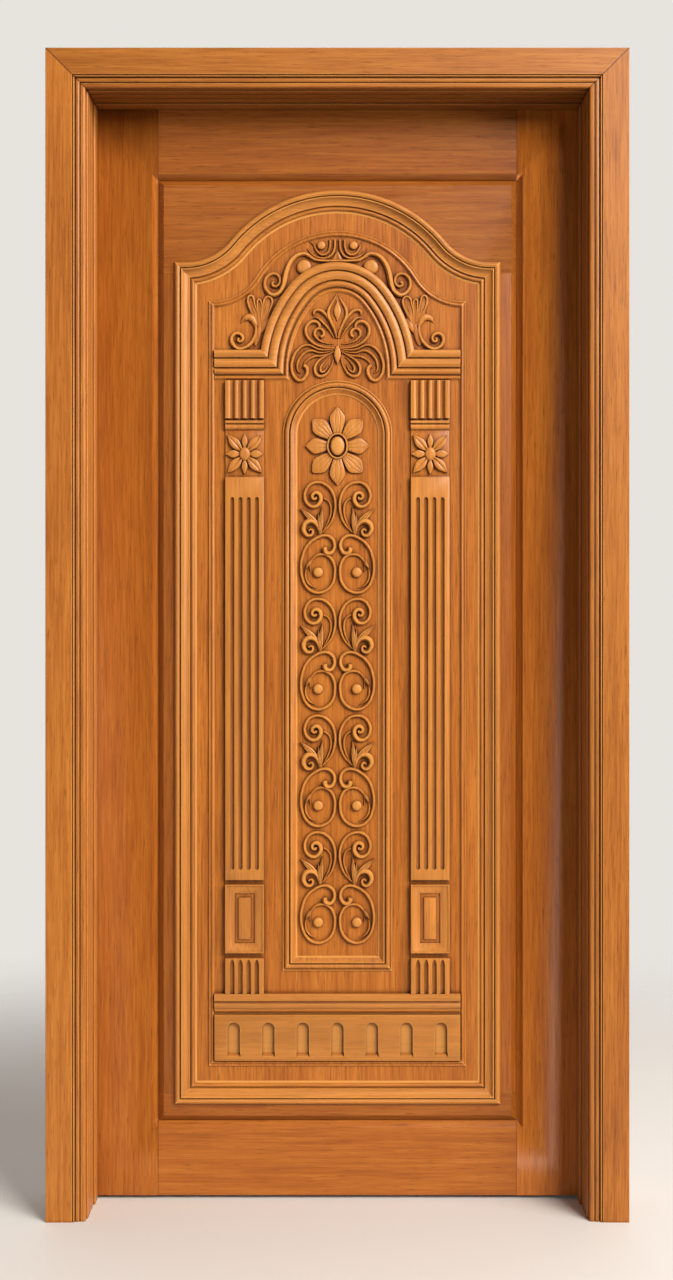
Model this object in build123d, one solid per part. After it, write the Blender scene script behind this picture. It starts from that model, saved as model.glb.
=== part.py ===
from build123d import *
from math import asin, atan, ceil, cos, degrees, hypot, pi, radians, sin, sqrt
import os

# Carved entrance door hung in its wooden frame.
# X runs to the viewer's right, Y away from the viewer and Z up from the floor.
# Lengths are millimetres. The origin is at the floor, in the middle of the width and depth.

# Leaf and the gaps round it
leaf_width = 914
leaf_height = 2040
leaf_thickness = 44
floor_gap = 7
edge_gap = 3
leaf_setback = 119

# Frame
jamb_thickness = 32
casing_width = 71
casing_thickness = 13
casing_lip_width = 22
casing_lip_drop = 4
casing_nose_radius = 3
stop_thickness = 8
stop_step_width = 3
stop_step_depth = 5
stop_bead_thickness = 3
stop_bead_width = 29
stop_clearance = 1
stop_nose_radius = 2
mitre_reach = 120

# Stiles, rails and the field boards that they hold
stile_width = 121
top_rail_height = 139
bottom_rail_height = 138
groove_half_width = 11
groove_depth = 10
field_thickness = 34
tongue_length = 9
tongue_thickness = 12
tongue_setback = 14
panel_play = 1
tenon_length = 80
tenon_margin = 25
mortise_play = 2

# Mitred moulding round the carved panel, arched at its head
field_side_margin = 31
field_head_margin = 20
field_foot_margin = 33
moulding_rise = 135
moulding_crown_share = 0.711
moulding_flat = 20
moulding_rebate = 20
moulding_profile = ((0, 0), (0, 4.5), (4, 8.5), (14.5, 8.5), (18, 4.5), (28, 1), (29.5, -2.5), (34, -0.5),
                    (42, -6))
panel_sink = 6

# Thin bead inside the moulding, with its own arched head
bead_side_inset = 64
bead_head_inset = 75
bead_foot_inset = 70
bead_rise = 132
bead_crown_share = 0.647
bead_flat = 6
bead_profile = ((0, 0), (0, 2.5), (3.5, 2.5), (5, 5), (9, 5), (11, 0))

# Round arch with its level wings, four stepped bands from the outside in
arch_headroom = 60
arch_span_share = 0.635
arch_crown_share = 0.5
arch_rise_share = 1.384
wing_drop_share = 1.123
arch_bands = ((15, 12), (18, 9.5), (13, 7), (10, 4.5))

# Pilasters
pilaster_offset_share = 0.755
pilaster_width_share = 0.315
pilaster_slab = 3
capital_gap = 6
capital_height = 66
abacus_gap = 4
abacus_height = 18
rosette_gap = 4
rosette_height = 81
shaft_top_gap = 3
shaft_foot_gap = 8
pedestal_height = 128
pedestal_gap = 10
base_height = 67
fluted_block_relief = 11
abacus_relief = 9
rosette_block_relief = 4
shaft_relief = 9
pedestal_relief = 12
flute_count = 4
flute_pitch_share = 0.211
flute_half_width = 3
flute_depth = 3
flute_top_margin = 38
flute_foot_margin = 20
pedestal_bevel_share = 0.276
pedestal_bevel_drop = 7
pedestal_tablet_share = 0.386
pedestal_tablet_relief = 9

# Base cornice and the plinth with its niches
plinth_height = 86
cornice_profile = ((0, 0), (0, 11), (13, 11), (15, 6), (17, 6), (19, 9), (28, 9), (34, 5), (39, 0))
plinth_relief = 9
niche_count = 7
niche_pitch_share = 0.281
niche_width = 23.4
niche_height = 63
niche_sill = 9
niche_depth = 7

# Round-headed frame of the centre panel
centre_width_share = 0.448
centre_foot_gap = 42
centre_profile = ((0, 0), (1.5, 5), (5, 8), (10, 7.5), (13, 4), (15, 6), (21, 3.5), (28, 0))

# Relief carving
relief_height = 6
relief_seat = 1
strand_half_width = 3
vine_top_drop = 188
vine_foot_gap = 44.6
vine_count = 4
flower_drop = 123.4
petal_relief = 5
kite_belly_share = 0.58
boss_top_share = 0.5
facet_turn = 30
tight_radius = 17
tight_facet_turn = 45
boss_sides = 8
oval_sides = 12
flute_end_facets = 4

# Hinges
hinge_head_margin = 217
hinge_foot_margin = 253
hinge_length = 100
plate_width = 29
plate_thickness = 2.5
pin_setback = 7
knuckle_radius = 6
knuckle_gap = 0.5
knuckle_clearance = 0.5
knuckle_tab_overlap = 1.6
pin_radius = 3
pin_clearance = 0.05

# Cutters run this far past the faces that they cut
overrun = 5

# Places that follow from the sizes above
opening_half = leaf_width / 2 + edge_gap
opening_top = floor_gap + leaf_height + edge_gap
total_depth = leaf_setback + leaf_thickness + pin_setback + knuckle_radius
front_y = -total_depth / 2
leaf_front = front_y + leaf_setback
leaf_back = leaf_front + leaf_thickness
panel_face = leaf_front + panel_sink
leaf_foot = floor_gap
leaf_top = floor_gap + leaf_height
pin_x = -(leaf_width + edge_gap) / 2
pin_y = leaf_back + pin_setback
sight_half = leaf_width / 2 - stile_width
sight_foot = leaf_foot + bottom_rail_height
sight_top = leaf_top - top_rail_height
moulding_half_span = sight_half - field_side_margin
moulding_crown = sight_top - field_head_margin
moulding_shoulder = moulding_crown - moulding_rise
moulding_foot = sight_foot + field_foot_margin
bead_half_span = moulding_half_span - bead_side_inset
bead_crown = moulding_crown - bead_head_inset
bead_shoulder = bead_crown - bead_rise
bead_foot = moulding_foot + bead_foot_inset
bead_width = bead_profile[-1][0]
wing_half_length = bead_half_span - bead_width
arch_half_span = wing_half_length * arch_span_share
arch_crown_radius = wing_half_length * arch_crown_share
arch_crown = bead_crown - arch_headroom
arch_spring = arch_crown - arch_half_span * arch_rise_share
wing_top = arch_crown - arch_half_span * wing_drop_share
arch_width = sum(width for width, relief in arch_bands)
wing_foot = wing_top - arch_width
plinth_foot = bead_foot + bead_width
plinth_top = plinth_foot + plinth_height
cornice_top = plinth_top + cornice_profile[-1][0]
niche_pitch = wing_half_length * niche_pitch_share
niche_foot = plinth_foot + niche_sill
niche_top = niche_foot + niche_height
pilaster_offset = wing_half_length * pilaster_offset_share
pilaster_width = wing_half_length * pilaster_width_share
capital_top = wing_foot - capital_gap
capital_foot = capital_top - capital_height
abacus_top = capital_foot - abacus_gap
abacus_foot = abacus_top - abacus_height
rosette_top = abacus_foot - rosette_gap
rosette_foot = rosette_top - rosette_height
shaft_top = rosette_foot - shaft_top_gap
base_top = cornice_top + base_height
pedestal_foot = base_top + pedestal_gap
pedestal_top = pedestal_foot + pedestal_height
shaft_foot = pedestal_top + shaft_foot_gap
flute_pitch = pilaster_width * flute_pitch_share
centre_half_width = wing_half_length * centre_width_share
centre_crown = wing_foot
centre_foot = cornice_top + centre_foot_gap
vine_top = centre_crown - vine_top_drop
vine_pitch = (vine_top - centre_foot - vine_foot_gap) / vine_count
flower_height = centre_crown - flower_drop
top_hinge_height = leaf_top - hinge_head_margin
bottom_hinge_height = leaf_foot + hinge_foot_margin
hinge_heights = (
    ("top", top_hinge_height),
    ("middle", (top_hinge_height + bottom_hinge_height) / 2),
    ("bottom", bottom_hinge_height),
)


def facing(y):
    """Plane at depth y that faces the viewer, with local x along X and local y along Z."""
    return Plane(origin=(0, y, 0), x_dir=(1, 0, 0), z_dir=(0, -1, 0))


def block(x_range, y_range, z_range):
    """Box between two values on each axis."""
    spans = (x_range, y_range, z_range)
    middle = [sum(span) / 2 for span in spans]
    return Pos(*middle) * Box(*[high - low for low, high in spans])


def slab(edges, y_front, y_back):
    """Closed outline in X and Z, given depth from y_front to y_back."""
    return extrude(facing(y_back) * make_face(edges), amount=y_back - y_front)


def polygon(points):
    return [Polyline(*points, close=True)]


def corners(half_width, foot, top):
    return (-half_width, foot), (half_width, foot), (half_width, top), (-half_width, top)


def rectangle(half_width, foot, top):
    return polygon(corners(half_width, foot, top))


def faceted(faces):
    """Solid with flat faces, each given by its corners as (x, z, relief above the panel)."""
    placed = [[(x, panel_face - h, z) for x, z, h in face] for face in faces]
    return Solid(Shell([Face(Wire.make_polygon(face)) for face in placed]))


def frustum(under, under_relief, over, over_relief):
    """Solid with flat sides between two outlines of as many corners."""
    low = [(x, z, under_relief) for x, z in under]
    high = [(x, z, over_relief) for x, z in over]
    sides = [(low[number - 1], low[number], high[number], high[number - 1]) for number in range(len(low))]
    return faceted([low, high] + sides)


def mirrored(shape):
    """The same piece on the other side of the door's middle."""
    return mirror(shape, about=Plane.YZ)


def save(shape, name):
    export_step(shape, f"parts/{name}.step")


# Frame: three legs of one section each, mitred at the head

def section(points, rounded, radius):
    """Closed section with the listed corners rounded."""
    face = make_face(Polyline(*points, close=True))
    corners = [v for v in face.vertices() if any(abs(v.X - x) + abs(v.Y - y) < radius for x, y in rounded)]
    return fillet(corners, radius) if corners else face


def head_wedge():
    """Room between the two mitre planes, wide at the top."""
    inner = mitre_reach
    points = (
        (-(opening_half - inner), opening_top - inner),
        (opening_half - inner, opening_top - inner),
        (opening_half + inner, opening_top + inner),
        (-(opening_half + inner), opening_top + inner),
    )
    return slab(polygon(points), front_y - overrun, leaf_back + overrun)


def leg_set(outline, rounded, radius):
    """Left leg, right leg and head of one section, drawn outward from the opening and back from the front."""
    legs = section(outline, rounded, radius)
    upright = extrude(Plane(origin=(-opening_half, front_y, 0), x_dir=(-1, 0, 0), z_dir=(0, 0, -1)) * legs,
                      amount=-(opening_top + mitre_reach))
    across = Plane(origin=(0, front_y, opening_top), x_dir=(0, 0, 1), z_dir=(-1, 0, 0))
    bar = extrude(across * legs, amount=opening_half + mitre_reach, both=True)
    left = upright - head_wedge()
    return left, mirrored(left), bar & head_wedge()


def jamb_section():
    frame_depth = leaf_setback + leaf_thickness
    outline = (
        (0, casing_thickness),
        (0, frame_depth),
        (jamb_thickness, frame_depth),
        (jamb_thickness, casing_thickness),
    )
    return outline, (), 0


def casing_section():
    """Casing with a lip along its inner edge, flush with the step of the stop."""
    inner = stop_step_width - stop_thickness
    face = inner + casing_lip_width
    outer = inner + casing_width
    outline = (
        (inner, casing_lip_drop),
        (face, casing_lip_drop),
        (face, 0),
        (outer, 0),
        (outer, casing_thickness),
        (inner, casing_thickness),
    )
    return outline, ((inner, casing_lip_drop), (face, 0)), casing_nose_radius


def stop_section():
    """Lining of the jamb, with a step at its front and a bead that the leaf closes against."""
    step = casing_thickness + stop_step_depth
    back = leaf_setback - stop_clearance
    bead_front = back - stop_bead_width
    bead_inner = -stop_thickness - stop_bead_thickness
    outline = (
        (-stop_thickness, step),
        (-stop_thickness, bead_front),
        (bead_inner, bead_front),
        (bead_inner, back),
        (0, back),
        (0, casing_thickness),
        (stop_step_width - stop_thickness, casing_thickness),
        (stop_step_width - stop_thickness, step),
    )
    return outline, ((-stop_thickness, step), (bead_inner, bead_front)), stop_nose_radius


# Hinges: a lift-off pair of plates on one pin

def plate_body(face_x, side, foot):
    """Plate let into the wood at face_x, on the side of the gap that side names."""
    far = face_x + side * plate_thickness
    back = pin_y - knuckle_radius - knuckle_clearance
    return block(sorted((face_x, far)), (back - plate_width, back), (foot, foot + hinge_length))


def knuckle(face_x, side, foot, top, bore):
    """Half of the barrel with the tab that joins it to its plate."""
    far = face_x + side * plate_thickness
    barrel = Pos(pin_x, pin_y, (foot + top) / 2) * Cylinder(knuckle_radius, top - foot)
    inner = pin_y - knuckle_radius - knuckle_clearance
    tab = block(sorted((face_x, far)), (inner, pin_y - knuckle_radius + knuckle_tab_overlap), (foot, top))
    hole = Pos(pin_x, pin_y, (foot + top) / 2) * Cylinder(bore, top - foot + overrun)
    return barrel + tab - hole


def hinge(middle):
    """Frame plate, door plate and pin of the hinge at this height."""
    foot = middle - hinge_length / 2
    top = middle + hinge_length / 2
    frame_plate = plate_body(-opening_half, -1, foot)
    frame_plate += knuckle(-opening_half, -1, foot, middle - knuckle_gap / 2, pin_radius)
    door_plate = plate_body(-leaf_width / 2, 1, foot)
    door_plate += knuckle(-leaf_width / 2, 1, middle + knuckle_gap / 2, top, pin_radius + pin_clearance)
    pin = Pos(pin_x, pin_y, middle) * Cylinder(pin_radius, hinge_length)
    return frame_plate, door_plate, pin


def plate_recesses(face_x, side):
    """Rooms for the three plates in the wood at face_x."""
    return [plate_body(face_x, side, middle - hinge_length / 2) for name, middle in hinge_heights]


# Stiles and rails

def bevel_room(half_width):
    """Room from the bevel's deep line to its line at the leaf's face, this far beyond the sight size."""
    face = corners(sight_half + half_width, sight_foot - half_width, sight_top + half_width)
    deep = corners(sight_half, sight_foot, sight_top)
    return frustum(deep, panel_sink - groove_depth, face, panel_sink)


def tongue_room(play):
    """Outline of the field boards' tongues, with play at their edges."""
    reach = tongue_length + play
    edges = rectangle(sight_half + reach, sight_foot - reach, sight_top + reach)
    front = leaf_front + tongue_setback
    return slab(edges, front, front + tongue_thickness)


def tenon(foot, top, play):
    """Tenons at both ends of a rail between two heights."""
    front = leaf_front + tongue_setback
    reach = sight_half + tenon_length + play
    depth = (front, front + tongue_thickness)
    return block((-reach, reach), depth, (foot + tenon_margin, top - tenon_margin))


def rail(foot, top):
    body = block((-sight_half, sight_half), (leaf_front, leaf_back), (foot, top))
    return body + tenon(foot, top, 0) - bevel_room(groove_half_width) - tongue_room(panel_play)


def left_stile():
    body = block((-leaf_width / 2, -sight_half), (leaf_front, leaf_back), (leaf_foot, leaf_top))
    body -= bevel_room(groove_half_width)
    body -= tongue_room(panel_play)
    body -= tenon(sight_top, leaf_top, mortise_play)
    body -= tenon(leaf_foot, sight_foot, mortise_play)
    return body


# Arched outlines of the moulding and the bead

class Ogee:
    """Arched head with hollow shoulders and a round crown, drawn as tangent arcs."""

    def __init__(self, half_span, foot, shoulder, crown, crown_share, flat):
        self.half_span = half_span
        self.foot = foot
        self.shoulder = shoulder
        self.run = half_span - flat
        rise = crown - shoulder
        self.turn = degrees(2 * atan(rise / self.run))
        both_radii = (self.run**2 + rise**2) / (2 * rise)
        self.crown_radius = both_radii * crown_share
        self.hollow_radius = both_radii - self.crown_radius
        self.crown_centre = (0, crown - self.crown_radius)
        self.hollow_centre = (-self.run, shoulder + self.hollow_radius)

    def corner(self, inset):
        """Left end of the head at this inset, and the hollow's angle there."""
        x = -(self.half_span - inset)
        radius = self.hollow_radius + inset
        lead = max(0, x + self.run)
        return x, self.hollow_centre[1] - sqrt(radius**2 - lead**2), degrees(asin(lead / radius))

    def head(self, inset):
        """Edges of the head, from the left corner to the right one."""
        x, z, lead = self.corner(inset)
        radius = self.hollow_radius + inset
        left = CenterArc(self.hollow_centre, radius, 270 + lead, self.turn - lead)
        right = CenterArc((self.run, self.hollow_centre[1]), radius, 270 - self.turn, self.turn - lead)
        crown = CenterArc(self.crown_centre, self.crown_radius - inset, 90 - self.turn, 2 * self.turn)
        flats = []
        if x < -self.run:
            flats = [Line((x, z), (-self.run, z)), Line((self.run, z), (-x, z))]
        return [left, crown, right] + flats

    def outline(self, inset):
        x, z, lead = self.corner(inset)
        foot = self.foot + inset
        return self.head(inset) + [Polyline((x, z), (x, foot), (-x, foot), (-x, z))]

    def head_room(self, y_front, y_back):
        """Room of the head between its two mitres."""
        x, z, lead = self.corner(0)
        reach = self.half_span / 2
        low = (x + reach, z - reach)
        high = (x - reach, z + reach)
        points = (low, high, (-high[0], high[1]), (-low[0], low[1]))
        return slab(polygon(points), y_front, y_back)

    def foot_room(self, y_front, y_back):
        """Room of the foot piece between its two mitres."""
        reach = self.half_span / 2
        points = (
            (-self.half_span - reach, self.foot - reach),
            (self.half_span + reach, self.foot - reach),
            (self.half_span - reach, self.foot + reach),
            (-self.half_span + reach, self.foot + reach),
        )
        return slab(polygon(points), y_front, y_back)


moulding_path = Ogee(moulding_half_span, moulding_foot, moulding_shoulder, moulding_crown,
                     moulding_crown_share, moulding_flat)
bead_path = Ogee(bead_half_span, bead_foot, bead_shoulder, bead_crown, bead_crown_share, bead_flat)


def turned(points, y, centre, base, sign, start, sweep):
    """Section of (inset, relief) points turned round a centre in the face at depth y."""
    angle = radians(start)
    plane = Plane(origin=(centre[0], y, centre[1]), x_dir=(cos(angle), 0, sin(angle)),
                  z_dir=(sin(angle), 0, -cos(angle)))
    face = make_face(Polyline(*[(base + sign * u, h) for u, h in points], close=True))
    return revolve(plane * face, Axis((centre[0], y, centre[1]), (0, -1, 0)), sweep)


def straight(points, y, start, end):
    """Section of (inset, relief) points run from start to end, with the inset to the left of the way."""
    length = hypot(end[0] - start[0], end[1] - start[1])
    way = ((end[0] - start[0]) / length, (end[1] - start[1]) / length)
    plane = Plane(origin=(start[0], y, start[1]), x_dir=(-way[1], 0, way[0]), z_dir=(way[0], 0, way[1]))
    return extrude(plane * make_face(Polyline(*points, close=True)), amount=length)


def ogee_head(path, points, y):
    """Run of a section along an arched head."""
    hollow = path.hollow_radius
    x, z, lead = path.corner(0)
    left = turned(points, y, path.hollow_centre, hollow, 1, 270, path.turn)
    crown = turned(points, y, path.crown_centre, path.crown_radius, -1, 90 - path.turn, 2 * path.turn)
    flat = straight(points, y, (-path.run, z), (x - overrun, z))
    return crown + left + flat + mirrored(left) + mirrored(flat)


def ogee_legs(path, points, y):
    """Runs of a section along the left leg, the right leg and the foot, all past their mitres."""
    x, z, lead = path.corner(0)
    left = straight(points, y, (x, z + overrun), (x, path.foot - overrun))
    foot = straight(points, y, (x - overrun, path.foot), (-x + overrun, path.foot))
    return left, mirrored(left), foot


def mitred_set(path, points, y):
    """Left, right, head and foot pieces of a section that runs round an arched outline."""
    head_room = path.head_room(y - leaf_thickness, y + leaf_thickness)
    foot_room = path.foot_room(y - leaf_thickness, y + leaf_thickness)
    left, right, foot = ogee_legs(path, points, y)
    left -= head_room + foot_room
    return left, mirrored(left), ogee_head(path, points, y) & head_room, foot & foot_room


def moulding_points():
    """Closed section of the moulding, rebated to sit on the field and on the sunk panel."""
    back = ((moulding_rebate, -panel_sink), (moulding_rebate, 0))
    return moulding_profile + back


# Field boards and the carved panel

def field_blank():
    """Bevelled board with its tongue, before the opening is cut."""
    body = slab(rectangle(sight_half, sight_foot, sight_top), leaf_front + groove_depth,
                leaf_front + field_thickness)
    blank = body + bevel_room(-groove_half_width) + tongue_room(0)
    return blank - slab(moulding_path.outline(moulding_rebate), leaf_front - overrun, leaf_back)


def field_boards():
    """Head board, foot board and the strip at each side."""
    blank = field_blank()
    reach = (-leaf_width, leaf_width)
    depth = (leaf_front - overrun, leaf_back)
    split_top = moulding_shoulder - moulding_rebate
    split_foot = moulding_foot + moulding_rebate
    head = blank & block(reach, depth, (split_top, leaf_top))
    foot = blank & block(reach, depth, (leaf_foot, split_foot))
    left = blank & block((-leaf_width, 0), depth, (split_foot, split_top))
    return head, foot, left, mirrored(left)


# Relief strokes: a start, a heading in degrees, then arcs as (radius, turn), or (length, 0) for a straight.
# Heights are measured from the top of a vine scroll, or from the crown of the arch.

vine_strokes = (
    ((39, -112), 135, ((115, -45), (30, -90), (26, -90), (19.5, -90), (14, -90))),
    ((41.7, -105), 115, ((45, -25), (15, -90), (13.5, -90), (6, 0), (11.5, -90))),
    ((13.5, -136), 180, ((8.5, -90), (6, 0), (16, -90), (47.5, -90), (22, 0), (35, -90), (28.5, -90), (10, 0),
                         (31, -90), (16.5, -90))),
    ((30, -80), 65, ((38, -45), (14, 0))),
)
vine_bosses = (((35.8, -174), 10),)

spandrel_strokes = (
    ((171, -105), 180, ((18, 90), (8, 0), (30, 90), (15.5, 90), (12, 90), (8, 90))),
    ((53, 16.5), 15, ((65, -15), (30, -90), (26, 0), (20, 90), (19, 90), (16.5, 90), (14, 90))),
    ((14, 42), 270, ((13, 0), (16.5, 90), (16.5, 90), (3, 0), (6, -90))),
)
spandrel_bosses = (((122, -40), 7), ((61.6, -9), 14), ((30.5, 29), 8))
spandrel_leaves = (
    ((148, -119), (166.4, -69), 7),
    ((146, -121), (155, -64), 7),
    ((144, -121), (134, -67), 8),
)

palmette_strokes = (
    ((4, -145), 68, ((42, 0), (18, -68), (9, -90))),
    ((5, -159.5), 0, ((25, 0), (29, 90), (5, 0), (17, 90), (11, 90), (8, 90))),
    ((36, -163), 15, ((20, 0), (25, -105), (22, 0), (16.5, -90), (14.5, -90), (5, 0), (8, -90))),
    ((4, -165), -30, ((30, 0), (24, -60), (9.5, -130), (26, 0))),
)
palmette_leaves = (((0, -153), (0, -59), 16), ((0, -161), (0, -189), 5))

flower_petals = (((0, 24), (0, 73), 16), ((18, 18), (48, 54), 17), ((19, 0), (59, 0), 15))
flower_ring = (19.3, 24.9, 3)
flower_button = (13.5, 17.8, 6)
rosette_petals = (((0, 9), (0, 36), 5.5), ((7, 8), (32, 35), 8), ((8, 0), (34.5, 0), 7))
rosette_button = (10.4, 12.8, 5)


def stroke_points(start, heading, moves):
    """Points along tangent arcs and straights, close enough to look round."""
    points = [start]
    for size, turn in moves:
        x, z = points[-1]
        way = radians(heading)
        if turn == 0:
            points.append((x + size * cos(way), z + size * sin(way)))
            continue
        side = 1 if turn > 0 else -1
        centre = (x - side * size * sin(way), z + side * size * cos(way))
        steps = ceil(abs(turn) / (tight_facet_turn if size < tight_radius else facet_turn))
        for step in range(1, steps + 1):
            angle = radians(heading - side * 90 + turn * step / steps)
            points.append((centre[0] + size * cos(angle), centre[1] + size * sin(angle)))
        heading += turn
    return points


def stroke_sides(points, half_width):
    """Lines to the left and right of a run of points, mitred at each corner."""
    ways = []
    for (x0, z0), (x1, z1) in zip(points, points[1:]):
        length = hypot(x1 - x0, z1 - z0)
        ways.append(((x1 - x0) / length, (z1 - z0) / length))
    left, right = [], []
    for (x, z), before, after in zip(points, ways[:1] + ways, ways + ways[-1:]):
        spread = half_width / (1 + before[0] * after[0] + before[1] * after[1])
        side = (-(before[1] + after[1]) * spread, (before[0] + after[0]) * spread)
        left.append((x + side[0], z + side[1], -relief_seat))
        right.append((x - side[0], z - side[1], -relief_seat))
    return left, right


def stroke(start, heading, moves):
    """Carved strand: a ridge that follows tangent arcs and straights."""
    points = stroke_points(start, heading, moves)
    left, right = stroke_sides(points, strand_half_width * (relief_height + relief_seat) / relief_height)
    ridge = [(x, z, relief_height) for x, z in points]
    faces = [left + right[::-1]]
    faces.append((left[0], ridge[0], right[0]))
    faces.append((left[-1], ridge[-1], right[-1]))
    for flank in (left, right):
        for number in range(len(points) - 1):
            faces.append((flank[number], flank[number + 1], ridge[number + 1], ridge[number]))
    return faceted(faces)


def kite(foot, tip, half_width, ground):
    """Pointed leaf or petal that rises to a peak, on ground that stands this far above the panel."""
    along = (tip[0] - foot[0], tip[1] - foot[1])
    length = hypot(*along)
    belly = (foot[0] + along[0] * kite_belly_share, foot[1] + along[1] * kite_belly_share)
    side = (-along[1] / length * half_width, along[0] / length * half_width)
    outline = (foot, (belly[0] - side[0], belly[1] - side[1]), tip, (belly[0] + side[0], belly[1] + side[1]))
    low = [(x, z, ground - relief_seat) for x, z in outline]
    peak = (*belly, ground + petal_relief)
    return faceted([low] + [(low[number - 1], low[number], peak) for number in range(len(low))])


def ring(centre, half_width, half_height, sides):
    """Corners of an oval with this many sides."""
    turns = [2 * pi * number / sides for number in range(sides)]
    return [(centre[0] + half_width * cos(turn), centre[1] + half_height * sin(turn)) for turn in turns]


def boss(centre, radius):
    """Round button with sloping sides."""
    low = ring(centre, radius, radius, boss_sides)
    high = ring(centre, radius * boss_top_share, radius * boss_top_share, boss_sides)
    return frustum(low, -relief_seat, high, relief_height)


def oval(centre, sizes, ground):
    """Flat oval on ground that stands this far above the panel."""
    half_width, half_height, height = sizes
    outline = ring(centre, half_width, half_height, oval_sides)
    return frustum(outline, ground - relief_seat, outline, ground + height)


def both_sides(pieces):
    return pieces + [mirrored(piece) for piece in pieces]


def lifted(point, height):
    return point[0], point[1] + height


def vine_unit(top):
    """Right half of one vine scroll whose top is at this height."""
    pieces = [stroke(lifted(start, top), heading, moves) for start, heading, moves in vine_strokes]
    return pieces + [boss(lifted(centre, top), radius) for centre, radius in vine_bosses]


def petals(table, centre, ground):
    """Petals given for one quarter, repeated over the other three."""
    pieces = []
    for foot, tip, half_width in table:
        signs = {(sx if tip[0] else 1, sz if tip[1] else 1) for sx in (1, -1) for sz in (1, -1)}
        for sx, sz in sorted(signs):
            place = [(centre[0] + sx * px, centre[1] + sz * pz) for px, pz in (foot, tip)]
            pieces.append(kite(*place, half_width, ground))
    return pieces


def flower():
    centre = (0, flower_height)
    pieces = petals(flower_petals, centre, 0)
    pieces.append(oval(centre, flower_ring, 0))
    pieces.append(oval(centre, flower_button, 0))
    return pieces


def spandrel():
    """Right half of the carving between the bead and the arch."""
    top = arch_crown
    pieces = [stroke(lifted(start, top), heading, moves) for start, heading, moves in spandrel_strokes]
    pieces += [boss(lifted(centre, top), radius) for centre, radius in spandrel_bosses]
    for foot, tip, half_width in spandrel_leaves:
        pieces.append(kite(lifted(foot, top), lifted(tip, top), half_width, 0))
    return pieces


def palmette():
    """Carving under the arch."""
    top = arch_crown
    half = [stroke(lifted(start, top), heading, moves) for start, heading, moves in palmette_strokes]
    pieces = both_sides(half)
    for foot, tip, half_width in palmette_leaves:
        pieces.append(kite(lifted(foot, top), lifted(tip, top), half_width, 0))
    return pieces


def carved_panel():
    """Sunk board with its relief carved from the same wood."""
    board = slab(moulding_path.outline(moulding_rebate), panel_face, leaf_front + field_thickness)
    relief = both_sides(spandrel()) + palmette() + flower()
    for number in range(vine_count):
        relief += both_sides(vine_unit(vine_top - number * vine_pitch))
    return board.fuse(*relief) - [arch_room(), bead_room(), centre_room()]


def bead_room():
    """Room in front of the panel that the bead takes up."""
    depth = (leaf_front - overrun, panel_face)
    return slab(bead_path.outline(0), *depth) - slab(bead_path.outline(bead_width), *depth)


# Arch with its wings

def arch_line(inset):
    """Edges of the arch and wings at this inset, from the left end to the right one."""
    crown_radius = arch_crown_radius - inset
    rise = arch_crown - arch_spring
    drop = rise - arch_crown_radius
    haunch = (drop**2 + arch_half_span**2 - arch_crown_radius**2) / (2 * (arch_half_span - arch_crown_radius))
    radius = haunch - inset
    shift = haunch - arch_half_span
    turn = degrees(atan(shift / drop))
    level = wing_top - inset
    lift = max(0, level - arch_spring)
    x = sqrt(radius**2 - lift**2) - shift
    lead = degrees(asin(lift / radius))
    edges = [CenterArc((0, arch_spring + drop), crown_radius, 90 - turn, 2 * turn)]
    edges.append(CenterArc((-shift, arch_spring), radius, lead, 90 - turn - lead))
    edges.append(CenterArc((shift, arch_spring), radius, 90 + turn, 90 - turn - lead))
    for side in (1, -1):
        edges.append(Line((side * wing_half_length, level), (side * x, level)))
        if level < arch_spring:
            edges.append(Line((side * x, level), (side * x, arch_spring)))
    return edges, level


def arch_room():
    """Room in front of the panel that the arch and wings take up, so that the relief stops at their edges."""
    outer, top = arch_line(0)
    inner, foot = arch_line(arch_width)
    ends = [Line((side * wing_half_length, top), (side * wing_half_length, foot)) for side in (1, -1)]
    return slab(outer + inner + ends, leaf_front - overrun, panel_face)


def arch_entablature():
    """Stepped bands that follow the arch and turn out level at its feet."""
    body = None
    inset = 0
    for width, relief in arch_bands:
        outer, top = arch_line(inset)
        inner, foot = arch_line(inset + width)
        ends = [Line((side * wing_half_length, top), (side * wing_half_length, foot)) for side in (1, -1)]
        band = slab(outer + inner + ends, panel_face - relief, panel_face)
        body = band if body is None else body + band
        inset += width
    return body


# Pilasters

def pilaster_block(foot, top, relief):
    half = pilaster_width / 2
    return block((-half, half), (panel_face - relief, panel_face), (foot, top))


def flute_centres():
    first = -(flute_count - 1) / 2
    return [(first + number) * flute_pitch for number in range(flute_count)]


def open_flutes(foot, top, relief):
    """Grooves that run out at both ends of a block."""
    face = panel_face - relief
    w = flute_half_width
    points = ((-w, 0), (0, -flute_depth), (w, 0))
    return [straight([(u - x, h) for u, h in points], face, (0, foot - overrun), (0, top + overrun))
            for x in flute_centres()]


def stopped_flute(x, foot, top, relief):
    """Groove with rounded ends, cut into a face that stands this far above the panel."""
    w = flute_half_width
    step = pi / flute_end_facets
    turns = [number * step for number in range(flute_end_facets + 1)]
    upper = [(x + w * cos(turn), top + w * sin(turn), relief) for turn in turns]
    lower = [(x - w * cos(turn), foot - w * sin(turn), relief) for turn in turns]
    deep_top = (x, top, relief - flute_depth)
    deep_foot = (x, foot, relief - flute_depth)
    faces = [upper + lower]
    faces.append((upper[-1], lower[0], deep_foot, deep_top))
    faces.append((lower[-1], upper[0], deep_top, deep_foot))
    for rim, deep in ((upper, deep_top), (lower, deep_foot)):
        for first, second in zip(rim, rim[1:]):
            faces.append((first, second, deep))
    return faceted(faces)


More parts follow.
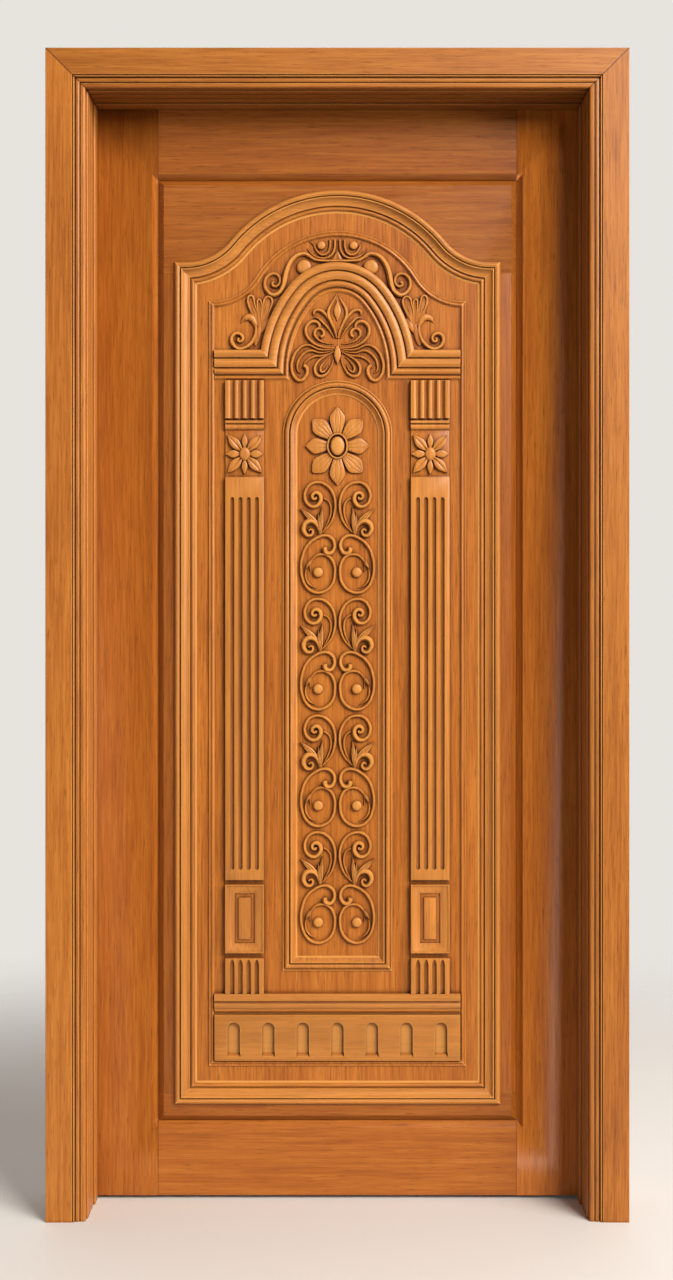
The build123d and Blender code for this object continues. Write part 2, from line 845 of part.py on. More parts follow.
def pedestal():
    """Block with a bevelled picture frame round a small tablet."""
    half = pilaster_width / 2
    body = pilaster_block(pedestal_foot, pedestal_top, pedestal_relief)
    rim = corners(half, pedestal_foot, pedestal_top)
    bevel = pilaster_width * pedestal_bevel_share
    sunk = corners(half - bevel, pedestal_foot + bevel, pedestal_top - bevel)
    body -= frustum(sunk, pedestal_relief - pedestal_bevel_drop, rim, pedestal_relief)
    margin = pilaster_width * pedestal_tablet_share
    tablet = rectangle(half - margin, pedestal_foot + margin, pedestal_top - margin)
    return body + slab(tablet, panel_face - pedestal_tablet_relief, panel_face)


def rosette():
    """Square block with an eight-petalled flower."""
    centre = (0, (rosette_foot + rosette_top) / 2)
    pieces = petals(rosette_petals, centre, rosette_block_relief)
    pieces.append(oval(centre, rosette_button, rosette_block_relief))
    return pilaster_block(rosette_foot, rosette_top, rosette_block_relief).fuse(*pieces)


def pilaster():
    """Fluted pilaster with its capital, rosette, shaft, pedestal and base, at the middle of the door."""
    body = pilaster_block(cornice_top, wing_foot, pilaster_slab)
    for foot, top in ((capital_foot, capital_top), (cornice_top, base_top)):
        fluted = pilaster_block(foot, top, fluted_block_relief)
        body += fluted - open_flutes(foot, top, fluted_block_relief)
    shaft = pilaster_block(shaft_foot, shaft_top, shaft_relief)
    ends = (shaft_foot + flute_foot_margin, shaft_top - flute_top_margin)
    body += shaft - [stopped_flute(x, *ends, shaft_relief) for x in flute_centres()]
    body += pilaster_block(abacus_foot, abacus_top, abacus_relief)
    return body + rosette() + pedestal()


# Cornice and plinth

def base_cornice():
    ends = (wing_half_length, cornice_top), (-wing_half_length, cornice_top)
    return straight(cornice_profile, panel_face, *ends)


def niche_plinth():
    """Board with a row of round-headed niches."""
    face = panel_face - plinth_relief
    body = slab(rectangle(wing_half_length, plinth_foot, plinth_top), face, panel_face)
    half = niche_width / 2
    shoulder = niche_top - half
    outline = [
        CenterArc((0, shoulder), half, 0, 180),
        Polyline((-half, shoulder), (-half, niche_foot), (half, niche_foot), (half, shoulder)),
    ]
    niche = slab(outline, face - overrun, face + niche_depth)
    first = -(niche_count - 1) / 2
    return body - [Pos((first + number) * niche_pitch, 0, 0) * niche for number in range(niche_count)]


# Round-headed frame of the centre panel

def centre_outline(inset):
    half = centre_half_width - inset
    shoulder = centre_crown - centre_half_width
    foot = centre_foot + inset
    sides = Polyline((-half, shoulder), (-half, foot), (half, foot), (half, shoulder))
    return [CenterArc((0, shoulder), half, 0, 180), sides]


def centre_room():
    """Room in front of the panel that the frame takes up."""
    depth = (leaf_front - overrun, panel_face)
    return slab(centre_outline(0), *depth) - slab(centre_outline(centre_profile[-1][0]), *depth)


def centre_frame():
    """Moulded frame, mitred at its foot and turned at its head."""
    half = centre_half_width
    shoulder = centre_crown - half
    arch = turned(centre_profile, panel_face, (0, shoulder), half, -1, 0, 180)
    left = straight(centre_profile, panel_face, (-half, shoulder), (-half, centre_foot))
    foot = straight(centre_profile, panel_face, (-half, centre_foot), (half, centre_foot))
    depth = (panel_face - leaf_thickness, panel_face)
    corner = slab(polygon(((-half, centre_foot), (half, centre_foot), (0, centre_foot + half))), *depth)
    left -= corner
    return arch + left + mirrored(left) + (foot & corner)


def build_frame():
    left, right, head = leg_set(*jamb_section())
    left -= plate_recesses(-opening_half, -1)
    save(left, "left_jamb")
    save(right, "right_jamb")
    save(head, "head_jamb")
    for name, outline in (("casing", casing_section()), ("stop", stop_section())):
        left, right, head = leg_set(*outline)
        save(left, f"left_{name}")
        save(right, f"right_{name}")
        save(head, f"head_{name}")


def build_hinges():
    for name, middle in hinge_heights:
        frame_plate, door_plate, pin = hinge(middle)
        save(frame_plate, f"{name}_hinge_frame_plate")
        save(door_plate, f"{name}_hinge_door_plate")
        save(pin, f"{name}_hinge_pin")


def build_leaf():
    stile = left_stile()
    save(stile - plate_recesses(-leaf_width / 2, 1), "left_stile")
    save(mirrored(stile), "right_stile")
    save(rail(sight_top, leaf_top), "top_rail")
    save(rail(leaf_foot, sight_foot), "bottom_rail")
    for board, name in zip(field_boards(), ("head", "foot", "left", "right")):
        save(board, f"{name}_field_board")
    pieces = mitred_set(moulding_path, moulding_points(), leaf_front)
    for piece, name in zip(pieces, ("left", "right", "arched", "foot")):
        save(piece, f"{name}_moulding")
    save(carved_panel(), "carved_panel")


def build_temple_front():
    left, right, head, foot = mitred_set(bead_path, bead_profile, panel_face)
    save(left + right + head + foot, "panel_bead")
    save(arch_entablature(), "arch_entablature")
    right_pilaster = Pos(pilaster_offset, 0, 0) * pilaster()
    save(right_pilaster, "right_pilaster")
    save(mirrored(right_pilaster), "left_pilaster")
    save(base_cornice(), "base_cornice")
    save(niche_plinth(), "niche_plinth")
    save(centre_frame(), "centre_frame")


os.makedirs("parts", exist_ok=True)
build_frame()
build_hinges()
build_leaf()
build_temple_front()
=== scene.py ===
from math import atan, atan2, cos, degrees, hypot, pi, radians, sin, sqrt

import bmesh
import bpy
from mathutils import Matrix, Vector


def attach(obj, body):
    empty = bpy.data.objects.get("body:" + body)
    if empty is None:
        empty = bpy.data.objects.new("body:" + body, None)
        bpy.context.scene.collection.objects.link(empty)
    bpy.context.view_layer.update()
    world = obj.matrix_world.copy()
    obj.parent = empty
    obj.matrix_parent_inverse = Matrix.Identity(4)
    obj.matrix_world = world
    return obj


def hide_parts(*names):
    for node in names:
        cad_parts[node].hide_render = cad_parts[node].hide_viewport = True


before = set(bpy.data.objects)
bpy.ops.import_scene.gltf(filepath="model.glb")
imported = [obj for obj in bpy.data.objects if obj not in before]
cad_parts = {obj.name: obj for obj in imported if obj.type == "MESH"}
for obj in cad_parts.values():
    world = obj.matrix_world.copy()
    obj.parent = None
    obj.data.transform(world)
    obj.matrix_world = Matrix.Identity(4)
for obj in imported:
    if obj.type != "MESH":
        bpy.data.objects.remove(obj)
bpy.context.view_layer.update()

# Lengths are millimetres until a piece is finished, and metres for the floor, the lights and the camera.
# X runs to the viewer's right, Y away from the viewer and Z up.

metre = 1000
level = 0
upright = 2
leaf_front = 31
panel_face = 37
panel_back = 65
sight_half = 336
arc_step = 3
weld_distance = 0.002
plane_slack = 0.001


# Wood and metal

wood_gloss = {"Roughness": 0.45, "Specular IOR Level": 0.2, "Coat Weight": 0.2, "Coat Roughness": 0.26}
steel_look = {"Base Color": (0.56, 0.55, 0.53, 1), "Metallic": 1, "Roughness": 0.32}
floor_look = {"Base Color": (0.62, 0.59, 0.56, 1), "Roughness": 0.6}
floor_fade = {"From Min": 0.9, "From Max": 2.5, "To Min": 1, "To Max": 0}
black = (0, 0, 0)
# Colour of the dark joint lines, and of the painted shade in crevices
stain_and_shade_colour = (0.060, 0.0125, 0.0012)
# Reach of the painted highlight on convex edges
edge_highlight_reach = 2.5
grain_relief = 0.5

# Figure, streaks, fibres and pores, each by scale, stretch, detail, roughness and distortion
grains = (
    (6, 0.12, 3, 0.55, 0.5),
    (62, 0.04, 4, 0.62, 0.2),
    (260, 0.035, 2, 0.6, 0.1),
    (620, 0.05, 1, 0.5, 0),
)


class Nodes:
    """Node tree, with the few steps that the materials and the studio are made of."""

    def __init__(self, owner):
        owner.use_nodes = True
        self.nodes = owner.node_tree.nodes
        self.join = owner.node_tree.links.new

    def node(self, kind, values=None):
        """Node with the given values on its inputs."""
        made = self.nodes.new(f"ShaderNode{kind}")
        for socket, value in (values or {}).items():
            made.inputs[socket].default_value = value
        return made

    def shader(self, look):
        made = self.nodes["Principled BSDF"]
        for socket, value in look.items():
            made.inputs[socket].default_value = value
        return made

    def attribute(self, name, output):
        made = self.node("Attribute")
        made.attribute_name = name
        return made.outputs[output]

    def grain(self, place, along, scale, stretch, detail, roughness, distortion):
        """Noise drawn out along the grain."""
        lengthened = self.node("Mapping", {"Scale": [stretch if axis == along else 1 for axis in range(3)]})
        numbers = {"Scale": scale, "Detail": detail, "Roughness": roughness, "Distortion": distortion}
        texture = self.node("TexNoise", numbers)
        self.join(place, lengthened.inputs["Vector"])
        self.join(lengthened.outputs[0], texture.inputs["Vector"])
        return texture.outputs["Fac"]

    def blend(self, first, second, share):
        mix = self.node("Mix", {"Factor": share})
        self.join(first, mix.inputs["A"])
        self.join(second, mix.inputs["B"])
        return mix.outputs["Result"]

    def ramp(self, value, stops):
        steps = self.node("ValToRGB")
        self.join(value, steps.inputs["Fac"])
        points = steps.color_ramp.elements
        for number, (position, colour) in enumerate(stops):
            point = points[number] if number < len(points) else points.new(position)
            point.position = position
            point.color = (*colour, 1)
        return steps.outputs["Color"]

    def tinted(self, colour, factor, other):
        """Colour moved towards another one."""
        mix = self.node("Mix")
        mix.data_type = "RGBA"
        self.join(factor, mix.inputs["Factor"])
        self.join(colour, mix.inputs["A"])
        mix.inputs["B"].default_value = (*other, 1)
        return mix.outputs["Result"]

    def ranged(self, value, limits):
        """Value carried over from one range to another."""
        span = self.node("MapRange", limits)
        self.join(value, span.inputs["Value"])
        return span.outputs[0]

    def openness(self, reach, samples, inside=False):
        """How free the surface is of what lies near it."""
        near = self.node("AmbientOcclusion", {"Distance": reach / metre})
        near.samples = samples
        near.inside = inside
        return near.outputs["AO"]


def wood(name, along, tones, crevice_shade, reach, proud_highlight=0.0, edge_highlight=0.6):
    """Lacquered wood with its grain along one axis.

    It is darker at joints. It has painted shade in its crevices, which also stands for stain settled there,
    and painted highlights where it stands proud and on its convex edges.
    """
    material = bpy.data.materials.new(name)
    tree = Nodes(material)
    shader = tree.shader(wood_gloss)
    place = tree.node("TexCoord").outputs["Object"]
    shifted = tree.node("VectorMath")
    tree.join(place, shifted.inputs[0])
    tree.join(tree.attribute("board", "Vector"), shifted.inputs[1])
    figure, streaks, fibres, pores = [tree.grain(shifted.outputs[0], along, *numbers) for numbers in grains]
    dark, middle, light = tones
    # Paler, yellower colour of the painted highlights
    highlight_colour = (light[0] * 1.5, light[1] * 2.1, light[2] * 3.6)
    value = tree.blend(tree.blend(figure, streaks, 0.5), fibres, 0.42)
    colour = tree.ramp(value, ((0.36, dark), (0.5, middle), (0.63, light)))
    ticks = tree.ramp(pores, ((0.60, black), (0.74, (0.55,) * 3)))
    colour = tree.tinted(colour, ticks, [part * 0.5 for part in dark])
    # Painted highlight: what stands 2.5 to 8 mm proud of the panel face turns paler, the higher the more
    if proud_highlight:
        depth = tree.node("SeparateXYZ")
        tree.join(place, depth.inputs[0])
        low, high = (panel_face - 2.5) / metre, (panel_face - 8) / metre
        limits = {"From Min": low, "From Max": high, "To Max": proud_highlight}
        colour = tree.tinted(colour, tree.ranged(depth.outputs["Y"], limits), highlight_colour)
    joint = tree.attribute("joint", "Fac")
    # Painted highlight on convex edges, left off at the joints
    if edge_highlight:
        edges = tree.ramp(tree.openness(edge_highlight_reach, 5, True), ((0.45, (edge_highlight,) * 3), (0.85, black)))
        edge_highlight_mask = tree.node("Math")
        edge_highlight_mask.operation = "MULTIPLY"
        tree.join(edges, edge_highlight_mask.inputs[0])
        tree.join(tree.ranged(joint, {"To Min": 1, "To Max": 0}), edge_highlight_mask.inputs[1])
        colour = tree.tinted(colour, edge_highlight_mask.outputs[0], highlight_colour)
    line = tree.ramp(joint, ((0.78, black), (0.95, (0.85,) * 3)))
    colour = tree.tinted(colour, line, stain_and_shade_colour)
    # Painted shade in crevices, which also stands for stain settled there
    shade = tree.ramp(tree.openness(reach, 6), ((0.36, (crevice_shade,) * 3), (0.86, black)))
    colour = tree.tinted(colour, shade, stain_and_shade_colour)
    # Board tone, which on some boards also holds painted light and shade
    toned = tree.node("VectorMath")
    toned.operation = "SCALE"
    tree.join(colour, toned.inputs[0])
    tree.join(tree.attribute("tone_and_shade", "Fac"), toned.inputs["Scale"])
    tree.join(toned.outputs[0], shader.inputs["Base Color"])
    relief = tree.node("Bump", {"Strength": 0.16, "Distance": grain_relief / metre})
    tree.join(tree.blend(fibres, pores, 0.4), relief.inputs["Height"])
    tree.join(relief.outputs["Normal"], shader.inputs["Normal"])
    return material


def steel(name):
    material = bpy.data.materials.new(name)
    Nodes(material).shader(steel_look)
    return material


def floor_paint():
    """Pale paint that fades out away from the middle."""
    material = bpy.data.materials.new("floor_paint")
    tree = Nodes(material)
    shader = tree.shader(floor_look)
    distance = tree.node("VectorMath")
    distance.operation = "LENGTH"
    tree.join(tree.node("TexCoord").outputs["Object"], distance.inputs[0])
    fade = tree.ranged(distance.outputs["Value"], floor_fade)
    fade.node.interpolation_type = "SMOOTHSTEP"
    tree.join(fade, shader.inputs["Alpha"])
    return material


pale = ((0.245, 0.065, 0.008), (0.370, 0.116, 0.015), (0.465, 0.165, 0.025))
brown = ((0.215, 0.052, 0.006), (0.305, 0.084, 0.009), (0.375, 0.119, 0.015))
honey = ((0.220, 0.056, 0.006), (0.345, 0.103, 0.012), (0.440, 0.149, 0.021))
# Each wood takes its grain axis, tones, painted crevice shade and its reach, then painted highlights on what
# stands proud and on edges
upright_frame = wood("frame_wood_upright", upright, pale, 0.8, 7, 0, 0.8)
level_frame = wood("frame_wood_level", level, pale, 0.8, 7, 0, 0.8)
upright_leaf = wood("leaf_wood_upright", upright, brown, 0.6, 5, 0, 0)
level_leaf = wood("leaf_wood_level", level, brown, 0.6, 5, 0, 0)
upright_moulding = wood("moulding_wood_upright", upright, honey, 0.75, 6, 0.25)
level_moulding = wood("moulding_wood_level", level, honey, 0.75, 6, 0.25)
pilaster_wood = wood("pilaster_wood", upright, honey, 0.95, 10, 0.25, 0)
panel_wood = wood("panel_wood", upright, honey, 0.95, 11, 0.5, 0)
hinge_metal = steel("hinge_steel")


# Finishing a piece

board_number = 0
# Tone of each board: partly real differences between boards, partly painted light and shade, such as the
# darker head stop and top rail, which lie in shade, and the lighter right stile beside its shadow
board_tones_and_shade = {
    "head_casing_board": 0.78, "left_casing_board": 0.96, "right_casing_board": 0.83,
    "head_stop_board": 0.68, "right_stop_board": 0.84, "left_stile_board": 0.97,
    "right_stile_board": 1.26, "top_rail_board": 0.80, "left_field_board_panel": 0.78,
    "right_field_board_panel": 0.98, "head_field_board_panel": 0.78, "foot_field_board_panel": 0.86,
    "carved_panel_board": 1.02, "left_moulding_run": 0.9, "right_moulding_run": 1.06,
    "arched_moulding_run": 0.92, "right_pilaster_carved": 1.06, "niche_plinth_board": 0.86,
    "base_cornice_run": 0.96,
}


def show(bm, name, body, materials, nodes, smooth=32):
    """Finished piece from a shape in millimetres, standing for the given solids."""
    global board_number
    board_number += 1
    bmesh.ops.scale(bm, vec=(1 / metre, 1 / metre, 1 / metre), verts=bm.verts)
    mesh = bpy.data.meshes.new(name)
    bm.to_mesh(mesh)
    bm.free()
    shift = mesh.attributes.new("board", "FLOAT_VECTOR", "POINT")
    offset = (board_number * 1.37 % 5, board_number * 0.83 % 3, board_number * 2.19 % 7)
    shift.data.foreach_set("vector", offset * len(mesh.vertices))
    tone_and_shade = mesh.attributes.new("tone_and_shade", "FLOAT", "POINT")
    tone_and_shade.data.foreach_set("value", [board_tones_and_shade.get(name, 1.0)] * len(mesh.vertices))
    mesh.polygons.foreach_set("use_smooth", [True] * len(mesh.polygons))
    mesh.set_sharp_from_angle(angle=radians(smooth))
    for material in materials:
        mesh.materials.append(material)
    piece = bpy.data.objects.new(name, mesh)
    bpy.context.scene.collection.objects.link(piece)
    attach(piece, body)
    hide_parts(*nodes)
    return piece


def show_carving(bm, name, material, node, smooth=32):
    show(bm, name, "leaf", [material], [node], smooth)


def corners(made):
    return [item for item in made if isinstance(item, bmesh.types.BMVert)]


def open_edges(made):
    """Edges that have one face alone."""
    return [item for item in made if isinstance(item, bmesh.types.BMEdge) and len(item.link_faces) == 1]


def outward(bm):
    bmesh.ops.remove_doubles(bm, verts=bm.verts, dist=weld_distance)
    bmesh.ops.recalc_face_normals(bm, faces=bm.faces)


def eased(bm, edges, size, segments):
    """Rounds the given edges."""
    bmesh.ops.bevel(bm, geom=edges, offset=size, offset_type="OFFSET", segments=segments, profile=0.5,
                    affect="EDGES", clamp_overlap=True, material=-1)


def sliced(bm, place, normal, clear=False):
    """Cuts a shape along a plane, and can take away what lies beyond it."""
    everything = bm.verts[:] + bm.edges[:] + bm.faces[:]
    bmesh.ops.bisect_plane(bm, geom=everything, dist=plane_slack, plane_co=place, plane_no=normal,
                           clear_outer=clear)


def softened(node, width, along):
    """Shape of a solid with the edges along its length rounded and its joint edges barely eased."""
    bm = bmesh.new()
    bm.from_mesh(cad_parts[node].data)
    bmesh.ops.scale(bm, vec=(metre, metre, metre), verts=bm.verts)
    bmesh.ops.remove_doubles(bm, verts=bm.verts, dist=weld_distance)
    bmesh.ops.dissolve_limit(bm, angle_limit=radians(0.5), verts=bm.verts, edges=bm.edges)
    for lengthwise, size, angle, segments in ((True, width, 28, 3), (False, 0.35, 36, 1)):
        sharp = []
        for edge in bm.edges:
            way = (edge.verts[1].co - edge.verts[0].co).normalized()
            bent = edge.is_manifold and edge.calc_face_angle() > radians(angle)
            if bent and (abs(way[along]) > 0.99) == lengthwise:
                sharp.append(edge)
        eased(bm, sharp, size, segments)
    return bm


def jointed(bm, point, normal, reach=7.0):
    """Marks the end of a piece at a joint plane, so that it can be shaded as a fine dark line."""
    place = Vector((point[0], 0, point[1]))
    way = Vector((normal[0], 0, normal[1])).normalized()
    sliced(bm, place - way * reach, way)
    mark = bm.verts.layers.float.get("joint") or bm.verts.layers.float.new("joint")
    for vert in bm.verts:
        if (vert.co - place).dot(way) > -0.5:
            vert[mark] = 1
    return bm


# Runs of a moulded section

def profile(points):
    """Section from (inset, relief, bulge) points.

    A bulge bows the way to the next point outwards by that much.
    """
    section = []
    for (u0, h0, bulge), (u1, h1, ignored) in zip(points, points[1:] + points[:1]):
        section.append((u0, h0))
        length = hypot(u1 - u0, h1 - h0)
        if bulge and length:
            side = (-(h1 - h0) / length, (u1 - u0) / length)
            for share in (0.12, 0.3, 0.5, 0.7, 0.88):
                rise = bulge * 4 * share * (1 - share)
                inset = u0 + (u1 - u0) * share + side[0] * rise
                section.append((inset, h0 + (h1 - h0) * share + side[1] * rise))
    return section


def run(section, y, start, heading, moves):
    """Section run along straights (length, 0) and arcs (radius, turn).

    The inset lies to the left of the way.
    """
    bm = bmesh.new()
    x, z = start
    way = radians(heading)
    loop = [bm.verts.new((x - sin(way) * u, y - h, z + cos(way) * u)) for u, h in section]
    edges = [bm.edges.new(pair) for pair in zip(loop, loop[1:] + loop[:1])]
    for size, turn in moves:
        way = radians(heading)
        if turn == 0:
            step = (size * cos(way), 0, size * sin(way))
            made = bmesh.ops.extrude_edge_only(bm, edges=edges)["geom"]
            bmesh.ops.translate(bm, vec=step, verts=corners(made))
            x, z = x + step[0], z + step[2]
        else:
            side = 1 if turn > 0 else -1
            centre = (x - side * size * sin(way), 0, z + side * size * cos(way))
            steps = max(2, round(abs(turn) / arc_step))
            made = bmesh.ops.spin(bm, geom=edges, cent=centre, axis=(0, -1, 0), angle=radians(turn),
                                  steps=steps, use_merge=False, use_duplicate=False)["geom_last"]
            heading += turn
            way = radians(heading)
            x, z = centre[0] + side * size * sin(way), centre[2] - side * size * cos(way)
        edges = open_edges(made)
    closed(bm)
    return bm


def closed(bm):
    """Fills the open ends of a run."""
    bmesh.ops.remove_doubles(bm, verts=bm.verts, dist=weld_distance)
    bmesh.ops.holes_fill(bm, edges=open_edges(bm.edges), sides=0)
    bmesh.ops.recalc_face_normals(bm, faces=bm.faces)


def cut(bm, point, normal):
    """Takes away what lies beyond a plane square to the door's face."""
    sliced(bm, (point[0], 0, point[1]), (normal[0], 0, normal[1]), True)
    closed(bm)
    return bm


def add(bm, other):
    """Joins another shape into this one."""
    held = bpy.data.meshes.new("held")
    other.to_mesh(held)
    other.free()
    bm.from_mesh(held)
    bpy.data.meshes.remove(held)
    return bm


def mirrored(bm):
    """The same shape on the other side of the door's middle."""
    other = bm.copy()
    bmesh.ops.scale(other, vec=(-1, 1, 1), verts=other.verts)
    bmesh.ops.reverse_faces(other, faces=other.faces)
    return other


def moved(bm, x, z):
    bmesh.ops.translate(bm, vec=(x, 0, z), verts=bm.verts)
    return bm


class ArchedOutline:
    """Outline with an arched head of two hollows and a crown."""

    def __init__(self, half_span, foot, shoulder, rise, crown_share, flat):
        self.half_span = half_span
        self.foot = foot
        self.shoulder = shoulder
        self.flat = flat
        reach = half_span - flat
        both = (reach**2 + rise**2) / (2 * rise)
        self.crown_radius = both * crown_share
        self.hollow_radius = both - self.crown_radius
        self.turn = degrees(2 * atan(rise / reach))

    def head(self, section, y):
        """Arched head between its two mitres."""
        past = self.half_span / 4
        moves = (
            (self.flat + past, 0),
            (self.hollow_radius, -self.turn),
            (self.crown_radius, 2 * self.turn),
            (self.hollow_radius, -self.turn),
            (self.flat + past, 0),
        )
        bm = run(section, y, (self.half_span + past, self.shoulder), 180, moves)
        cut(bm, (self.half_span, self.shoulder), (1, -1))
        return cut(bm, (-self.half_span, self.shoulder), (-1, -1))

    def right_leg(self, section, y):
        past = self.half_span / 4
        length = self.shoulder - self.foot + 2 * past
        bm = run(section, y, (self.half_span, self.foot - past), 90, ((length, 0),))
        cut(bm, (self.half_span, self.shoulder), (-1, 1))
        return cut(bm, (self.half_span, self.foot), (-1, -1))

    def foot_piece(self, section, y):
        past = self.half_span / 4
        length = 2 * (self.half_span + past)
        bm = run(section, y, (-self.half_span - past, self.foot), 0, ((length, 0),))
        cut(bm, (self.half_span, self.foot), (1, 1))
        return cut(bm, (-self.half_span, self.foot), (-1, 1))


moulding_line = ArchedOutline(305, 178, 1753, 135, 0.711, 20)
bead_line = ArchedOutline(241, 248, 1681, 132, 0.647, 6)
moulding_section = profile([
    (0, 0, 0), (0, 2.4, 0), (0.6, 3.4, 3.4), (10.2, 6.4, 0), (11.2, 3.0, 0), (12.2, 3.0, 0),
    (12.6, 7.8, 0), (13.2, 8.4, 0), (14.4, 8.4, 0), (15.0, 7.8, -2.4), (28.2, 0.8, 0), (28.8, 0.2, 0),
    (29.2, -2.8, 0), (30.2, -2.8, 2.5), (37.6, -4.0, 0), (38.2, -5.2, 0), (41.8, -6, 0), (20, -6, 0),
    (20, 0, 0),
])
bead_section = profile([
    (0, 0, 0), (0, 2.0, 0), (0.5, 2.5, 0), (3.2, 2.5, 0), (3.7, 2.2, 2.7), (10.6, 1.2, 0), (11, 0, 0),
])


# Boards of the frame and the leaf

board_ease = 0.8
board_smooth = 15


def plain_board(node, ending, body, material, along, joint_sides=()):
    """Board with softened edges that stands for its solid."""
    bm = softened(node, board_ease, along)
    for side in joint_sides:
        jointed(bm, (side * sight_half, 0), (side, 0))
    show(bm, f"{node}_{ending}", body, [material], [node], board_smooth)


def build_boards():
    for node in ("left_jamb", "right_jamb"):
        plain_board(node, "board", "frame", upright_frame, upright)
    plain_board("head_jamb", "board", "frame", level_frame, level)
    frame_legs("casing", casing_section, casing_back, casing_half, casing_top)
    frame_legs("stop", stop_section, frame_front, opening_half, opening_top)
    for node in ("left_stile", "right_stile"):
        plain_board(node, "board", "leaf", upright_leaf, upright)
    for node in ("top_rail", "bottom_rail"):
        plain_board(node, "board", "leaf", level_leaf, level, (1, -1))
    for node in ("left_field_board", "right_field_board"):
        plain_board(node, "panel", "leaf", upright_leaf, upright)
    for node in ("head_field_board", "foot_field_board"):
        plain_board(node, "panel", "leaf", level_leaf, level)


frame_front = -88
casing_back = -75
casing_half = 526
casing_top = 2116
casing_section = profile([
    (0, 0, 0), (0, 12.2, 0), (0.8, 13, 0), (47.4, 13, 0), (48, 12.4, 0), (48.3, 10.2, 0),
    (48.7, 10.4, 2.3), (52.2, 10, 0), (52.5, 7.4, 0), (54.2, 7.4, 0), (54.6, 9.4, 0.9), (60.6, 9, 0),
    (60.9, 6.8, 0), (62.5, 6.8, 0), (62.9, 8.6, 0), (63.4, 9, 0), (67.6, 9, 1.0), (71, 5.6, 0),
    (71, 0, 0),
])
opening_half = 460
opening_top = 2050
stop_section = profile([
    (0, -13, 0), (4.9, -13, 0), (3.8, -13.8, 0), (5, -14.6, 0), (5, -18, 0), (6.2, -18, 0.5),
    (8, -19.8, 0), (8, -33, 0), (5.8, -34, 0), (5.8, -38.6, 0), (8, -39, 0), (8, -59, 0), (5.8, -60, 0),
    (5.8, -64.6, 0), (8, -65, 0), (8, -84, 0), (6.4, -84.6, 0), (6.4, -89, 0), (9, -89, 0.6),
    (11, -91, 0), (11, -118, 0), (0, -118, 0),
])


def frame_legs(part, section, y, half, top):
    """Left leg, right leg and head of one section round the opening, mitred at the corners."""
    past = 150
    right = run(section, y, (half, 0), 90, ((top + past, 0),))
    cut(right, (half, top), (-1, 1))
    jointed(right, (half, top), (-1, 1))
    head = run(section, y, (half + past, top), 180, ((2 * (half + past), 0),))
    for side in (1, -1):
        cut(head, (side * half, top), (side, -1))
        jointed(head, (side * half, top), (side, -1))
    show(mirrored(right), f"left_{part}_board", "frame", [upright_frame], [f"left_{part}"])
    show(right, f"right_{part}_board", "frame", [upright_frame], [f"right_{part}"])
    show(head, f"head_{part}_board", "frame", [level_frame], [f"head_{part}"])


def build_moulding():
    section = moulding_section
    head = moulding_line.head(section, leaf_front)
    show_carving(head, "arched_moulding_run", level_moulding, "arched_moulding")
    right = moulding_line.right_leg(section, leaf_front)
    left = mirrored(right)
    show_carving(right, "right_moulding_run", upright_moulding, "right_moulding")
    show_carving(left, "left_moulding_run", upright_moulding, "left_moulding")
    foot = moulding_line.foot_piece(section, leaf_front)
    show_carving(foot, "foot_moulding_run", level_moulding, "foot_moulding")
    bead = bead_line.head(bead_section, panel_face)
    right = bead_line.right_leg(bead_section, panel_face)
    add(bead, mirrored(right))
    add(bead, right)
    add(bead, bead_line.foot_piece(bead_section, panel_face))
    show_carving(bead, "panel_bead_run", upright_moulding, "panel_bead")


# Arch, centre frame, cornice and plinth

wing_half = 230
wing_top = 1589
arch_spring = 1550.9
arch_crown = 1753
arch_half = 146.05
arch_crown_radius = 115
arch_bands = ((15, 12), (18, 9.5), (13, 7), (10, 4.5))


def band_section():
    """Four rounded bands that step down, with a deep quirk between each two."""
    crown = 2.6
    quirk = 1.4
    points = [(0, 0, 0)]
    inset = 0
    for number, (width, relief) in enumerate(arch_bands):
        points.append((inset + (quirk if number else 0), relief - crown, crown))
        inset += width
        points.append((inset - quirk, relief - crown, 0))
        if number + 1 < len(arch_bands):
            low = arch_bands[number + 1][1] - 1.7 * crown
            points.append((inset - quirk * 0.7, low, 0))
            points.append((inset + quirk * 0.7, low, 0))
    points.append((inset, 0, 0))
    return profile(points)


def build_arch():
    section = band_section()
    width = sum(band for band, relief in arch_bands)
    drop = arch_crown - arch_spring - arch_crown_radius
    haunch = (drop**2 + arch_half**2 - arch_crown_radius**2) / (2 * (arch_half - arch_crown_radius))
    shift = haunch - arch_half
    turn = degrees(atan(shift / drop))
    foot_run = arch_spring - wing_top + 2 * width
    lift = wing_top - arch_spring
    outer = (sqrt(haunch**2 - lift**2) - shift, wing_top)
    inner = (arch_half - width, wing_top - width)
    mitre = (outer[1] - inner[1], inner[0] - outer[0])
    moves = (
        (foot_run, 0),
        (haunch, 90 - turn),
        (arch_crown_radius, 2 * turn),
        (haunch, 90 - turn),
        (foot_run, 0),
    )
    arch = run(section, panel_face, (arch_half, arch_spring - foot_run), 90, moves)
    cut(arch, outer, mitre)
    cut(arch, (-outer[0], outer[1]), (-mitre[0], mitre[1]))
    reach = wing_half - inner[0] + width
    wing = run(section, panel_face, (wing_half, wing_top), 180, ((reach, 0),))
    cut(wing, outer, (-mitre[0], -mitre[1]))
    add(arch, mirrored(wing))
    add(arch, wing)
    show_carving(arch, "arch_bands", level_moulding, "arch_entablature")


